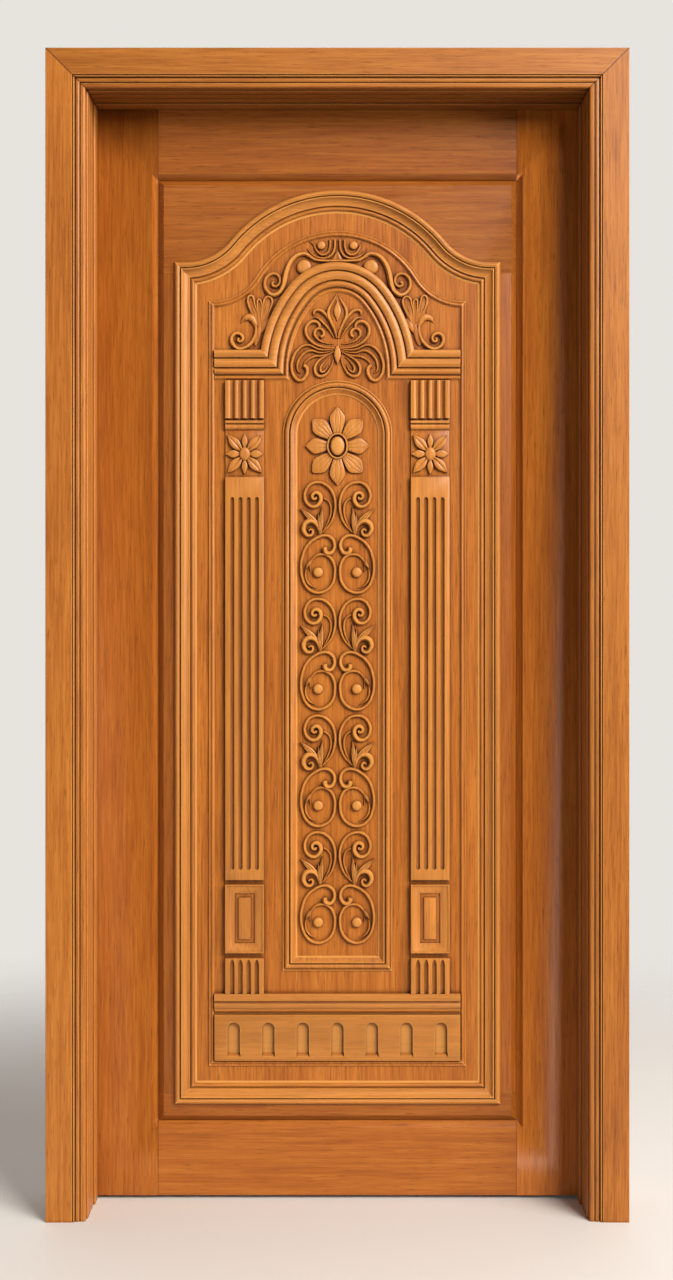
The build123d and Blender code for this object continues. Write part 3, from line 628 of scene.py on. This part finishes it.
centre_half = 103.04
centre_foot = 426
centre_crown = 1533
centre_section = profile([
    (0, 0, 0), (0, 1.6, 0), (0.5, 2.2, 0), (2.6, 2.4, 0), (3.4, 1.6, 0), (4.2, 3.4, 2.8),
    (12.6, 4.8, 0), (13.4, 1.6, 0), (14.6, 1.6, 0), (15.0, 6.4, 0), (15.6, 6.9, 0), (17.0, 6.8, -0.9),
    (26.6, 1.6, 0), (28, 0, 0),
])


def build_centre_frame():
    past = 40
    shoulder = centre_crown - centre_half
    legs = shoulder - centre_foot + past
    moves = ((legs, 0), (centre_half, 90))
    bm = run(centre_section, panel_face, (centre_half, centre_foot - past), 90, moves)
    cut(bm, (centre_half, centre_foot), (-1, -1))
    cut(bm, (0, centre_foot), (-1, 0))
    add(bm, mirrored(bm))
    caps = [face for face in bm.faces if all(abs(vert.co.x) < 0.01 for vert in face.verts)]
    bmesh.ops.delete(bm, geom=caps, context="FACES")
    closed(bm)
    width = 2 * (centre_half + past)
    foot = run(centre_section, panel_face, (-centre_half - past, centre_foot), 0, ((width, 0),))
    cut(foot, (centre_half, centre_foot), (1, 1))
    cut(foot, (-centre_half, centre_foot), (-1, 1))
    add(bm, foot)
    show_carving(bm, "centre_frame_run", upright_moulding, "centre_frame")


cornice_top = 384
cornice_section = profile([
    (0, 0, 0), (0, 10.2, 0), (0.8, 11, 0), (12.2, 11, 0), (13, 10.2, 0), (14.2, 6.2, 0), (17, 6, 0),
    (17.8, 7.0, 2.0), (27.8, 7.0, 0), (28.8, 6.2, 1.0), (34.4, 4.2, 0), (35, 2.4, 0), (38.2, 2.0, 0),
    (39, 0, 0),
])


def build_cornice():
    bm = run(cornice_section, panel_face, (wing_half, cornice_top), 180, ((2 * wing_half, 0),))
    show_carving(bm, "base_cornice_run", level_moulding, "base_cornice")


def block(x_range, z_range, relief, ease=0.8):
    """Board on the panel with eased edges."""
    bm = bmesh.new()
    bmesh.ops.create_cube(bm, size=1)
    size = (x_range[1] - x_range[0], relief, z_range[1] - z_range[0])
    bmesh.ops.scale(bm, vec=size, verts=bm.verts)
    middle = ((x_range[0] + x_range[1]) / 2, panel_face - relief / 2, (z_range[0] + z_range[1]) / 2)
    bmesh.ops.translate(bm, vec=middle, verts=bm.verts)
    if ease:
        front = [edge for edge in bm.edges if all(vert.co.y < panel_face - relief / 2 for vert in edge.verts)]
        eased(bm, front, ease, 2)
    return bm


def carved_out(bm, cutters):
    """Takes the cutters' room out of a shape."""
    objects = []
    for shape in (bm, cutters):
        mesh = bpy.data.meshes.new("held")
        shape.to_mesh(mesh)
        shape.free()
        objects.append(bpy.data.objects.new("held", mesh))
        bpy.context.scene.collection.objects.link(objects[-1])
    change = objects[0].modifiers.new("room", "BOOLEAN")
    change.operation = "DIFFERENCE"
    change.solver = "EXACT"
    change.use_self = True
    change.object = objects[1]
    seen = bpy.context.evaluated_depsgraph_get()
    result = bmesh.new()
    result.from_object(objects[0], seen)
    for held in objects:
        mesh = held.data
        bpy.data.objects.remove(held)
        bpy.data.meshes.remove(mesh)
    return result


def outlined(points, y_front, y_back):
    """Slab from a closed outline in X and Z."""
    bm = bmesh.new()
    loop = [bm.verts.new((x, y_front, z)) for x, z in points]
    face = bm.faces.new(loop)
    made = bmesh.ops.extrude_face_region(bm, geom=[face])["geom"]
    bmesh.ops.translate(bm, vec=(0, y_back - y_front, 0), verts=corners(made))
    bmesh.ops.recalc_face_normals(bm, faces=bm.faces)
    return bm


plinth_foot = 259
plinth_top = 345
plinth_relief = 9
niche_pitch = 64.63
niche_half = 11.7
niche_foot = 268
niche_top = 331
niche_count = 7
niche_ease = 0.9


def niche_outline(half, foot, top):
    shoulder = top - half
    head = [(half * cos(pi * step / 16), shoulder + half * sin(pi * step / 16)) for step in range(17)]
    return [(half, foot), (half, foot + 8)] + head + [(-half, foot + 8), (-half, foot)]


def niche_cutter():
    """Room of a niche with an eased rim and a splayed sill."""
    face = panel_face - plinth_relief
    bm = outlined(niche_outline(niche_half, niche_foot, niche_top), face - 4, face + 7.5)
    for vert in bm.verts:
        if vert.co.z < niche_foot + 0.1 and vert.co.y < face:
            vert.co.z -= 6
            vert.co.x *= 1.2
        if vert.co.z < niche_foot + 0.1 and vert.co.y > face:
            vert.co.z += 5
    return bm


def build_plinth():
    cutters = bmesh.new()
    for number in range(niche_count):
        add(cutters, moved(niche_cutter(), (number - (niche_count - 1) / 2) * niche_pitch, 0))
    board = carved_out(block((-wing_half, wing_half), (plinth_foot, plinth_top), plinth_relief), cutters)
    rim = [edge for edge in board.edges if edge.is_manifold and edge.calc_face_angle() > radians(40)
           and all(abs(vert.co.y - (panel_face - plinth_relief)) < 0.01 for vert in edge.verts)
           and all(abs(vert.co.x) < wing_half - 5 for vert in edge.verts)]
    eased(board, rim, niche_ease, 2)
    outward(board)
    show_carving(board, "niche_plinth_board", level_moulding, "niche_plinth")


# Pilasters

pilaster_offset = 173.65
pilaster_half = 36.2
flute_pitch = 15.29
flute_places = [(number - 1.5) * flute_pitch for number in range(4)]


def flute(foot, top, face, half, depth, foot_point, top_point):
    """Hollow groove that thins to its ends over the given lengths."""
    bm = bmesh.new()
    bmesh.ops.create_cone(bm, cap_ends=False, segments=16, radius1=1, radius2=1, depth=2)
    for vert in bm.verts:
        vert.co.z = top if vert.co.z > 0 else foot
    tips = []
    for end, length in ((top, top_point), (foot, -foot_point)):
        rim = [edge for edge in bm.edges if all(abs(vert.co.z - end) < 0.01 for vert in edge.verts)]
        for share, shrink in ((0.35, 0.86), (0.7, 0.55), (0.92, 0.22)):
            made = bmesh.ops.extrude_edge_only(bm, edges=rim)["geom"]
            for vert in corners(made):
                turn = atan2(vert.co.y, vert.co.x)
                vert.co = (cos(turn) * shrink, sin(turn) * shrink, end + length * share)
            rim = open_edges(made)
        tips += rim
    bmesh.ops.holes_fill(bm, edges=tips, sides=0)
    bmesh.ops.scale(bm, vec=(half, depth, 1), verts=bm.verts)
    bmesh.ops.translate(bm, vec=(0, face, 0), verts=bm.verts)
    bmesh.ops.recalc_face_normals(bm, faces=bm.faces)
    return bm


def fluted_block(foot, top, relief, flute_foot, flute_top, foot_point, top_point, half, depth):
    cutters = bmesh.new()
    for place in flute_places:
        groove = flute(flute_foot, flute_top, panel_face - relief, half, depth, foot_point, top_point)
        add(cutters, moved(groove, place, 0))
    return carved_out(block((-pilaster_half, pilaster_half), (foot, top), relief), cutters)


def reeded_block(foot, top, relief):
    """Block with rounded ridges between hollow grooves from end to end."""
    half = 4.6
    hollow = ((-1, 1.0), (-0.86, 2.9), (-0.5, 5.2), (0, 6.2), (0.5, 5.2), (0.86, 2.9), (1, 1.0))
    section = [(-pilaster_half, 0), (-pilaster_half, relief - 1)]
    for place in flute_places:
        ridge = place - flute_pitch / 2
        section += [(ridge - 2, relief - 0.3), (ridge, relief), (ridge + 2, relief - 0.3)]
        for share, depth in hollow:
            section.append((place + half * share, relief - depth))
    ridge = flute_pitch * 2
    section += [(ridge - 2, relief - 0.3), (ridge + 3, relief)]
    section += [(pilaster_half, relief - 1), (pilaster_half, 0)]
    bm = bmesh.new()
    loop = [bm.verts.new((x, panel_face - rise, foot)) for x, rise in section]
    edges = [bm.edges.new(pair) for pair in zip(loop, loop[1:] + loop[:1])]
    made = bmesh.ops.extrude_edge_only(bm, edges=edges)["geom"]
    bmesh.ops.translate(bm, vec=(0, 0, top - foot), verts=corners(made))
    closed(bm)
    return bm


pedestal_steps = (
    (2.6, 0), (1.0, -1.4), (12.2, -4.6), (1.6, -0.8), (0.8, -3.6), (6.0, 0), (0.8, 4.6), (2.2, 0.8),
)


def pedestal():
    """Block with a picture frame round a small tablet."""
    foot, top, relief = 461, 589, 12
    half = pilaster_half
    bm = block((-half, half), (foot, top), relief, 0)
    front = [face for face in bm.faces if face.normal.y < -0.5]
    for width, drop in pedestal_steps:
        bmesh.ops.inset_region(bm, faces=front, thickness=width, depth=drop, use_even_offset=True)
    return bm


def petal(foot, tip, half_width, widths, ground, height, lines=()):
    """Petal or leaf with crisp edges, on ground above the panel.

    Lines (place across, half breadth, depth) are cut into it.
    """
    bm = bmesh.new()
    made = bmesh.ops.create_grid(bm, x_segments=24, y_segments=len(widths) - 1, size=1)
    length = hypot(tip[0] - foot[0], tip[1] - foot[1])
    along = ((tip[0] - foot[0]) / length, (tip[1] - foot[1]) / length)
    for vert in made["verts"]:
        u = vert.co.x
        row = round((vert.co.y + 1) / 2 * (len(widths) - 1))
        t = row / (len(widths) - 1)
        across = u * half_width * widths[row]
        rise = height * (1 - 0.16 * abs(u)**4) * (0.76 + 0.24 * sin(pi * min(1, t * 1.15)))
        for place, breadth, depth in lines:
            rise -= depth * max(0, 1 - abs(u - place) / breadth) * (1 - t * 0.5)
        x = foot[0] + along[0] * t * length + along[1] * across
        z = foot[1] + along[1] * t * length - along[0] * across
        vert.co = (x, panel_face - ground - max(rise, 0.2), z)
    made = bmesh.ops.extrude_edge_only(bm, edges=open_edges(bm.edges))["geom"]
    for vert in corners(made):
        vert.co.y = panel_face - ground + 0.8
    bmesh.ops.holes_fill(bm, edges=open_edges(made), sides=0)
    outward(bm)
    return bm


dome = ((1, -0.12), (1, 0.34), (0.965, 0.58), (0.88, 0.78), (0.72, 0.92), (0.46, 0.985), (0.02, 1))


def button(centre, half_width, half_height, ground, height):
    """Domed oval."""
    bm = bmesh.new()
    line = [bm.verts.new((radius, -rise, 0)) for radius, rise in dome]
    edges = [bm.edges.new(pair) for pair in zip(line, line[1:])]
    bmesh.ops.spin(bm, geom=edges, cent=(0, 0, 0), axis=(0, 1, 0), angle=2 * pi, steps=32,
                   use_merge=True, use_duplicate=False)
    closed(bm)
    bmesh.ops.scale(bm, vec=(half_width, height, half_height), verts=bm.verts)
    bmesh.ops.translate(bm, vec=(centre[0], panel_face - ground, centre[1]), verts=bm.verts)
    return bm


pointed = (0.40, 0.62, 0.82, 0.96, 1.0, 0.95, 0.80, 0.57, 0.31, 0.05)
spear = (0.50, 0.60, 0.72, 0.84, 0.94, 1.0, 0.95, 0.70, 0.38, 0.05)
rounded = (0.34, 0.50, 0.66, 0.82, 0.95, 1.0, 0.98, 0.88, 0.66, 0.30)
square = (0.42, 0.56, 0.70, 0.83, 0.94, 1.0, 0.98, 0.77, 0.48, 0.14)


def quarters(shape_of, centre):
    """The same shape in the four quarters round a centre."""
    bm = bmesh.new()
    for sx in (1, -1):
        for sz in (1, -1):
            add(bm, shape_of(sx, sz))
    return moved(bm, *centre)


def rosette(centre):
    foot, top, relief = 1354, 1435, 3.6
    bm = block((-pilaster_half, pilaster_half), (foot, top), relief)
    for sx, sz, half in ((0, 1, 5.2), (0, -1, 5.2), (1, 0, 6.8), (-1, 0, 6.8)):
        add(bm, moved(petal((sx * 10, sz * 12), (sx * 35, sz * 38), half, pointed, relief, 6.2), *centre))

    def leaf(sx, sz):
        crease = ((0, 0.34, 1.7),)
        return petal((sx * 7, sz * 8), (sx * 32, sz * 35), 8.6, pointed, relief, 6.8, crease)

    add(bm, quarters(leaf, centre))
    add(bm, button(centre, 10.6, 13.0, relief, 8.2))
    return bm


abacus_section = profile([
    (0, 0, 0), (0, 8.2, 0), (0.8, 9, 0), (4.4, 9, 0), (5.2, 8.2, 0), (5.4, 5.6, 0), (6.4, 5.6, 2.8),
    (16.8, 5.4, 0), (17.4, 3.6, 0), (18, 0, 0),
])


pilaster_top = 1533
abacus_top = 1457
rosette_centre = (0, 1394.5)


def build_pilasters():
    bm = block((-pilaster_half, pilaster_half), (cornice_top, pilaster_top), 3, 0.4)
    add(bm, reeded_block(foot=1461, top=1532, relief=11))
    add(bm, fluted_block(foot=384, top=451, relief=11, flute_foot=360, flute_top=438,
                         foot_point=5, top_point=12, half=4.4, depth=5.6))
    add(bm, run(abacus_section, panel_face, (pilaster_half, abacus_top), 180, ((2 * pilaster_half, 0),)))
    add(bm, rosette(rosette_centre))
    add(bm, fluted_block(foot=597, top=1351, relief=9, flute_foot=620, flute_top=1310,
                         foot_point=4, top_point=4, half=3.9, depth=4.8))
    add(bm, pedestal())
    moved(bm, pilaster_offset, 0)
    left = mirrored(bm)
    show_carving(bm, "right_pilaster_carved", pilaster_wood, "right_pilaster")
    show_carving(left, "left_pilaster_carved", pilaster_wood, "left_pilaster")


# Relief carving on the panel. Strands are (x, height) points, with half widths spread evenly along them.

flower_height = 1409.6
vine_top = 1345
vine_pitch = 218.6
vine_count = 4
vine_strands = (
    (((40, -109), (29.5, -98), (13, -80), (5.8, -61), (4.2, -42), (8.5, -24), (18.5, -10.5),
      (34, -3.5), (49.5, -6.5), (59.5, -19), (61, -33), (54, -45.5), (43, -49), (34, -42.5),
      (31.5, -32), (36.5, -24), (45, -25), (47, -32), (41, -34.5), (39.5, -31)),
     (1.6, 3.2, 3.5, 3.5, 3.8, 5.2, 4.4, 3.8)),
    (((26, -33), (16.5, -39), (12, -53), (14.5, -70), (24, -90), (33, -103)), (2.2, 2.7, 2.6, 1.0)),
    (((33, -110), (34.5, -96), (38, -84), (47, -76.5), (57.5, -78), (63.5, -87.5), (61.5, -97.5),
      (53.5, -103.5), (46.5, -99), (48.5, -91.5), (54, -94)),
     (1.4, 3.8, 6.0, 5.4, 4.4, 3.6, 3.2)),
    (((24, -125.5), (22, -134), (14.5, -136.5), (7.5, -130), (5.5, -119), (11.5, -107.5), (24, -103),
      (41, -108.5), (57, -122.5), (65.5, -142), (68.3, -163), (65.5, -183), (57, -200), (41, -210),
      (24, -207.5), (10, -194.5), (4.8, -174.5), (7.2, -154.5), (17, -141.5), (32.5, -138.5),
      (45.5, -145.5), (51.5, -160), (50, -171)),
     (5.6, 4.0, 3.5, 3.5, 3.5, 3.5, 1.4)),
    (((56, -158), (60, -178), (54, -193.5), (40, -202)), (1.0, 2.8, 2.6, 0.9)),
)
vine_leaves = (
    ((32, -102), (28.5, -49), 3.8),
    ((33, -101), (35.5, -60), 3.0),
    ((35, -84), (69, -53), 5.2),
    ((50, -150), (60, -166), 2.6),
)
vine_ball = ((36.2, -172), 9.6)

palmette_strands = (
    (((0.5, 1694), (9, 1679), (16.5, 1664), (17, 1655), (11, 1640), (4, 1624), (1.5, 1612)),
     (1.6, 3.4, 3.8, 3.2, 2.0)),
    (((1.5, 1612), (12, 1640), (23, 1657), (35, 1664.5), (43.5, 1662), (44, 1656)),
     (1.6, 3.4, 3.2, 2.6)),
    (((6, 1612), (17, 1630), (28, 1642), (38, 1650), (45, 1650)), (1.2, 3.0, 2.8, 1.0)),
    (((4.5, 1594), (30.5, 1596), (51, 1608), (59.5, 1624), (55, 1638), (44.5, 1643), (35.5, 1639.5),
      (33, 1632)),
     (1.8, 3.4, 3.6, 3.0)),
    (((8, 1601), (26, 1604), (38, 1611), (43, 1621), (37, 1629.5), (28, 1627), (26, 1618), (31, 1614)),
     (1.2, 3.0, 3.2, 3.2)),
    (((2.5, 1592), (32.5, 1590.5), (58, 1599), (75, 1589), (83.5, 1573.5), (86, 1556.5), (81, 1540),
      (70, 1532.5), (60, 1540), (57, 1554.5), (62.5, 1561)),
     (1.8, 3.2, 3.4, 3.8)),
    (((6, 1589), (32, 1584.5), (52, 1588.5), (67, 1579), (75, 1564), (74, 1551), (69, 1546)),
     (1.2, 2.8, 2.8, 1.4)),
    (((8, 1586), (28, 1579), (45, 1577), (59, 1568), (66, 1556)), (1.0, 2.6, 2.6, 1.2)),
    (((3.5, 1588.5), (23, 1578), (38, 1566), (42.5, 1553), (36.5, 1541.5), (25, 1542), (14, 1554),
      (6.5, 1573)),
     (1.4, 3.2, 3.4, 1.4)),
    (((15, 1577), (26, 1566), (32, 1555), (29.5, 1548.5), (22.5, 1552), (17.5, 1563)),
     (1.0, 2.8, 3.0, 1.0)),
)
spandrel_strands = (
    (((154, 1640), (152.5, 1629), (156, 1613), (164, 1600.5), (176, 1592.5), (187.5, 1592.5),
      (196, 1600.5), (198.5, 1610.5), (193.5, 1619), (185.5, 1620.5), (179, 1616), (178, 1609.5),
      (182, 1605.5), (186, 1608), (184, 1612)),
     (2.8, 4.6, 4.4, 3.9, 3.8)),
    (((40, 1757.5), (49, 1763), (58, 1769), (68, 1769.5), (79, 1764.5), (89, 1753), (95.5, 1738),
      (99, 1723), (102, 1708), (109.5, 1696.5), (120.5, 1692.5), (131.5, 1700), (136.5, 1713.5),
      (132, 1726.5), (121, 1732.5), (110.5, 1728.5), (107.5, 1719), (111.5, 1710.5), (118.5, 1709),
      (122, 1714), (118, 1717)),
     (3.4, 4.4, 5.6, 5.8, 3.8, 3.6, 3.6, 3.8)),
    (((57, 1767), (47, 1761.5), (38, 1758), (22, 1756.5), (4, 1756.5), (0, 1756.5)),
     (3.4, 3.6, 3.6, 3.4)),
    (((52, 1793), (45, 1788), (40.5, 1779), (34.5, 1771), (27, 1768), (19.5, 1771), (14.5, 1780.5),
      (13.5, 1796)),
     (1.0, 2.8, 3.0, 2.8)),
    (((56, 1780), (49.5, 1771), (40, 1764.5), (28, 1761.5), (16, 1764), (8, 1772.5), (5, 1783),
      (4.8, 1797)),
     (1.0, 2.6, 3.0, 3.0, 2.8)),
)
spandrel_rims = (
    (((149, 1641), (158, 1655), (165, 1670), (168, 1682), (165.5, 1690), (160, 1690.5), (156.5, 1683),
      (154, 1672), (149.5, 1658), (148, 1644)),
     (1.2, 2.0, 2.1, 1.9, 1.2)),
    (((150.5, 1648), (157, 1664), (161.5, 1682)), (1.0, 1.7, 0.9)),
    (((147, 1638), (148.5, 1658), (150, 1673), (147.5, 1684), (143.5, 1681.5), (143.3, 1668),
      (145, 1650)),
     (1.2, 2.0, 1.9, 1.2)),
    (((141.5, 1640), (142.5, 1656), (139.5, 1674), (134.5, 1687), (127.5, 1689), (122.5, 1682.5),
      (124, 1671), (131, 1656), (140, 1641)),
     (1.2, 2.0, 2.1, 2.0, 1.2)),
    (((140, 1648), (134.5, 1664), (130, 1680)), (1.0, 1.7, 0.9)),
    (((137.5, 1629), (130.5, 1637), (127, 1647)), (1.0, 1.8, 0.9)),
)
spandrel_lobes = (
    (((153, 1629), (155, 1641), (162.5, 1650.5), (172.5, 1650), (182, 1640)),
     (3.0, 6.4, 7.6, 6.4, 1.0)),
)
spandrel_leaves = (
    ((150, 1634), (163, 1690), 8.0),
    ((146.5, 1634), (146.5, 1684), 4.6),
    ((143, 1634), (128, 1688), 9.0),
    ((144, 1622), (128, 1648), 5.2),
    ((144, 1640), (154, 1598), 5.0),
)
spandrel_balls = (((62.5, 1745), 14.3), ((30.2, 1785.5), 8.0))


def strands(table, height, boldness=1.0):
    """Carved strands that follow smooth lines and thin towards their ends."""
    line = bpy.data.curves.new("held", "CURVE")
    line.dimensions = "3D"
    line.twist_mode = "Z_UP"
    line.bevel_depth = 1
    line.bevel_resolution = 3
    line.resolution_u = 5
    line.use_fill_caps = True
    for points, widths in table:
        widths = [width * boldness for width in widths]
        spline = line.splines.new("BEZIER")
        spline.bezier_points.add(len(points) - 1)
        last = len(points) - 1
        for number, (point, (x, z)) in enumerate(zip(spline.bezier_points, points)):
            point.co = (x, z, 0)
            point.handle_left_type = point.handle_right_type = "AUTO"
            place = number / last * (len(widths) - 1)
            low = min(len(widths) - 2, int(place))
            point.radius = widths[low] + (widths[low + 1] - widths[low]) * (place - low)
    held = bpy.data.objects.new("held", line)
    mesh = bpy.data.meshes.new_from_object(held)
    bm = bmesh.new()
    bm.from_mesh(mesh)
    bpy.data.objects.remove(held)
    bpy.data.curves.remove(line)
    bpy.data.meshes.remove(mesh)
    bmesh.ops.rotate(bm, verts=bm.verts, cent=(0, 0, 0), matrix=Matrix.Rotation(radians(90), 3, "X"))
    sliced(bm, (0, 0.4, 0), (0, 1, 0), True)
    closed(bm)
    bmesh.ops.scale(bm, vec=(1, height, 1), verts=bm.verts)
    bmesh.ops.translate(bm, vec=(0, panel_face, 0), verts=bm.verts)
    return bm


def vine_unit():
    """Right half of one vine scroll, with its top at height zero."""
    bm = strands(vine_strands, 1.8)
    for foot, tip, half_width in vine_leaves:
        add(bm, petal(foot, tip, half_width, pointed, 0, 7, ((-0.34, 0.17, 1.3), (0.34, 0.17, 1.3))))
    centre, radius = vine_ball
    add(bm, button(centre, radius, radius, 0, 7.5))
    return bm


def flower():
    bm = bmesh.new()
    ribs = ((-0.34, 0.1, 0.8), (0.34, 0.1, 0.8))
    veins = ((-0.5, 0.1, 0.8), (0, 0.1, 0.8), (0.5, 0.1, 0.8))
    for sz in (1, -1):
        add(bm, petal((0, sz * 22), (0, sz * 73.5), 14.2, spear, 0, 6.2, ribs))
    for sx in (1, -1):
        add(bm, petal((sx * 17, 0), (sx * 59.5, 0), 14.4, spear, 0, 6.2, ribs))

    def broad_petal(sx, sz):
        return petal((sx * 13, sz * 17), (sx * 46, sz * 49), 15.5, square, 0, 6.2, veins)

    add(bm, quarters(broad_petal, (0, 0)))
    ring = [(18.2 * cos(2 * pi * n / 16), 22.8 * sin(2 * pi * n / 16)) for n in range(17)]
    add(bm, strands(((ring, (2.6, 2.6)),), 3.4))
    add(bm, button((0, 0), 14.2, 18.8, 0, 8.6))
    return moved(bm, 0, flower_height)


def palmette():
    bm = strands(palmette_strands, 1.7, 1.12)
    add(bm, mirrored(bm))
    add(bm, petal((0, 1622), (0, 1694), 15, (0.1, 0.4, 0.7, 0.92, 1.0, 0.9, 0.7, 0.45, 0.2, 0.04), 0, 2.4))
    add(bm, petal((0, 1644), (0, 1682), 6.4, (0.1, 0.4, 0.72, 0.94, 1, 0.9, 0.66, 0.36, 0.06), 0, 6.2))
    add(bm, petal((0, 1597), (0, 1563), 6, pointed, 0, 6.6))
    return bm


def spandrel():
    bm = strands(spandrel_strands, 1.7)
    add(bm, strands(spandrel_lobes, 0.9))
    add(bm, strands(spandrel_rims, 2.2, 1.5))
    for foot, tip, half_width in spandrel_leaves:
        add(bm, petal(foot, tip, half_width, rounded, 0, 4.0))
    for centre, radius in spandrel_balls:
        add(bm, button(centre, radius, radius, 0, 6.5))
    add(bm, petal((0, 1755), (0, 1776), 10, (1, 0.9, 0.78, 0.64, 0.5, 0.36, 0.2, 0.05), 0, 4.5))
    return bm


def panel_board():
    """Sunk board with an arched head."""
    inset = 20
    line = moulding_line
    bm = bmesh.new()
    half = line.half_span - inset
    x, z = half, line.shoulder - inset
    points = [(-half, line.foot + inset), (half, line.foot + inset), (x, z)]
    heading = 180
    for radius, turn in ((line.hollow_radius + inset, -line.turn), (line.crown_radius - inset, 2 * line.turn),
                         (line.hollow_radius + inset, -line.turn)):
        side = 1 if turn > 0 else -1
        way = radians(heading)
        centre = (x - side * radius * sin(way), z + side * radius * cos(way))
        steps = round(abs(turn) / arc_step)
        for step in range(1, steps + 1):
            way = radians(heading + turn * step / steps)
            points.append((centre[0] + side * radius * sin(way), centre[1] - side * radius * cos(way)))
        heading += turn
        x, z = points[-1]
    return outlined(points, panel_face, panel_back)


def build_carved_panel():
    bm = panel_board()
    unit = vine_unit()
    add(unit, mirrored(unit))
    for number in range(vine_count):
        add(bm, moved(unit.copy(), 0, vine_top - number * vine_pitch))
    unit.free()
    add(bm, flower())
    add(bm, palmette())
    side = spandrel()
    add(bm, mirrored(side))
    add(bm, side)
    show_carving(bm, "carved_panel_board", panel_wood, "carved_panel", 40)


def build_hinges():
    for place in ("top", "middle", "bottom"):
        for part in ("frame_plate", "door_plate", "pin"):
            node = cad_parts[f"{place}_hinge_{part}"]
            node.data.materials.clear()
            node.data.materials.append(hinge_metal)


# Floor, light and camera

floor_radius = 2.6
wall_dim = 0.12
wall_bright = 0.80
wall_colour = (1, 0.96, 0.91, 1)
door_middle = (0, 0, 1.1)
warm = (1, 0.97, 0.92)
eye_height = 1.121
eye_distance = 3.088


def aimed(name, data, place, target):
    thing = bpy.data.objects.new(name, data)
    bpy.context.scene.collection.objects.link(thing)
    thing.location = place
    thing.rotation_euler = (Vector(target) - Vector(place)).to_track_quat("-Z", "Y").to_euler()
    return thing


def lamp(name, place, target, size, power, colour):
    thing = aimed(name, bpy.data.lights.new(name, "AREA"), place, target)
    thing.data.size = size
    thing.data.energy = power
    thing.data.color = colour


def build_floor():
    bm = bmesh.new()
    bmesh.ops.create_circle(bm, cap_ends=True, segments=96, radius=floor_radius)
    mesh = bpy.data.meshes.new("floor")
    bm.to_mesh(mesh)
    bm.free()
    mesh.materials.append(floor_paint())
    floor = bpy.data.objects.new("floor", mesh)
    bpy.context.scene.collection.objects.link(floor)


def build_surroundings():
    """Light from all round, dim in front and bright behind, that looks evenly pale itself."""
    world = bpy.data.worlds.new("studio")
    tree = Nodes(world)
    way = tree.node("SeparateXYZ")
    tree.join(tree.node("TexCoord").outputs["Generated"], way.inputs[0])
    limits = {"From Min": -0.35, "From Max": 0.45, "To Min": wall_dim, "To Max": wall_bright}
    seen = tree.node("Mix", {"B": wall_bright})
    tree.join(tree.node("LightPath").outputs["Is Camera Ray"], seen.inputs["Factor"])
    tree.join(tree.ranged(way.outputs["Y"], limits), seen.inputs["A"])
    background = tree.nodes["Background"]
    background.inputs["Color"].default_value = wall_colour
    tree.join(seen.outputs["Result"], background.inputs["Strength"])
    bpy.context.scene.world = world
    bpy.context.scene.view_settings.view_transform = "Standard"


def build_lights():
    lamp("key_light", (3.1, -4.3, 4.3), door_middle, 3.0, 630, warm)
    lamp("side_light", (4.7, -2.5, 1.8), door_middle, 1.8, 170, warm)
    lamp("fill_light", (-3.2, -3.4, 0.9), (0, 0, 1.0), 2.0, 30, (1, 0.98, 0.96))


def build_camera():
    place = (0, -eye_distance, eye_height)
    camera = aimed("camera", bpy.data.cameras.new("camera"), place, (0, 0, eye_height))
    camera.data.sensor_fit = "VERTICAL"
    camera.data.sensor_height = 36
    camera.data.lens = 46.86
    camera.data.shift_y = -0.0312
    camera.data.shift_x = -0.0007
    bpy.context.scene.camera = camera


build_boards()
build_moulding()
build_arch()
build_centre_frame()
build_cornice()
build_plinth()
build_pilasters()
build_carved_panel()
build_hinges()
build_floor()
build_surroundings()
build_lights()
build_camera()
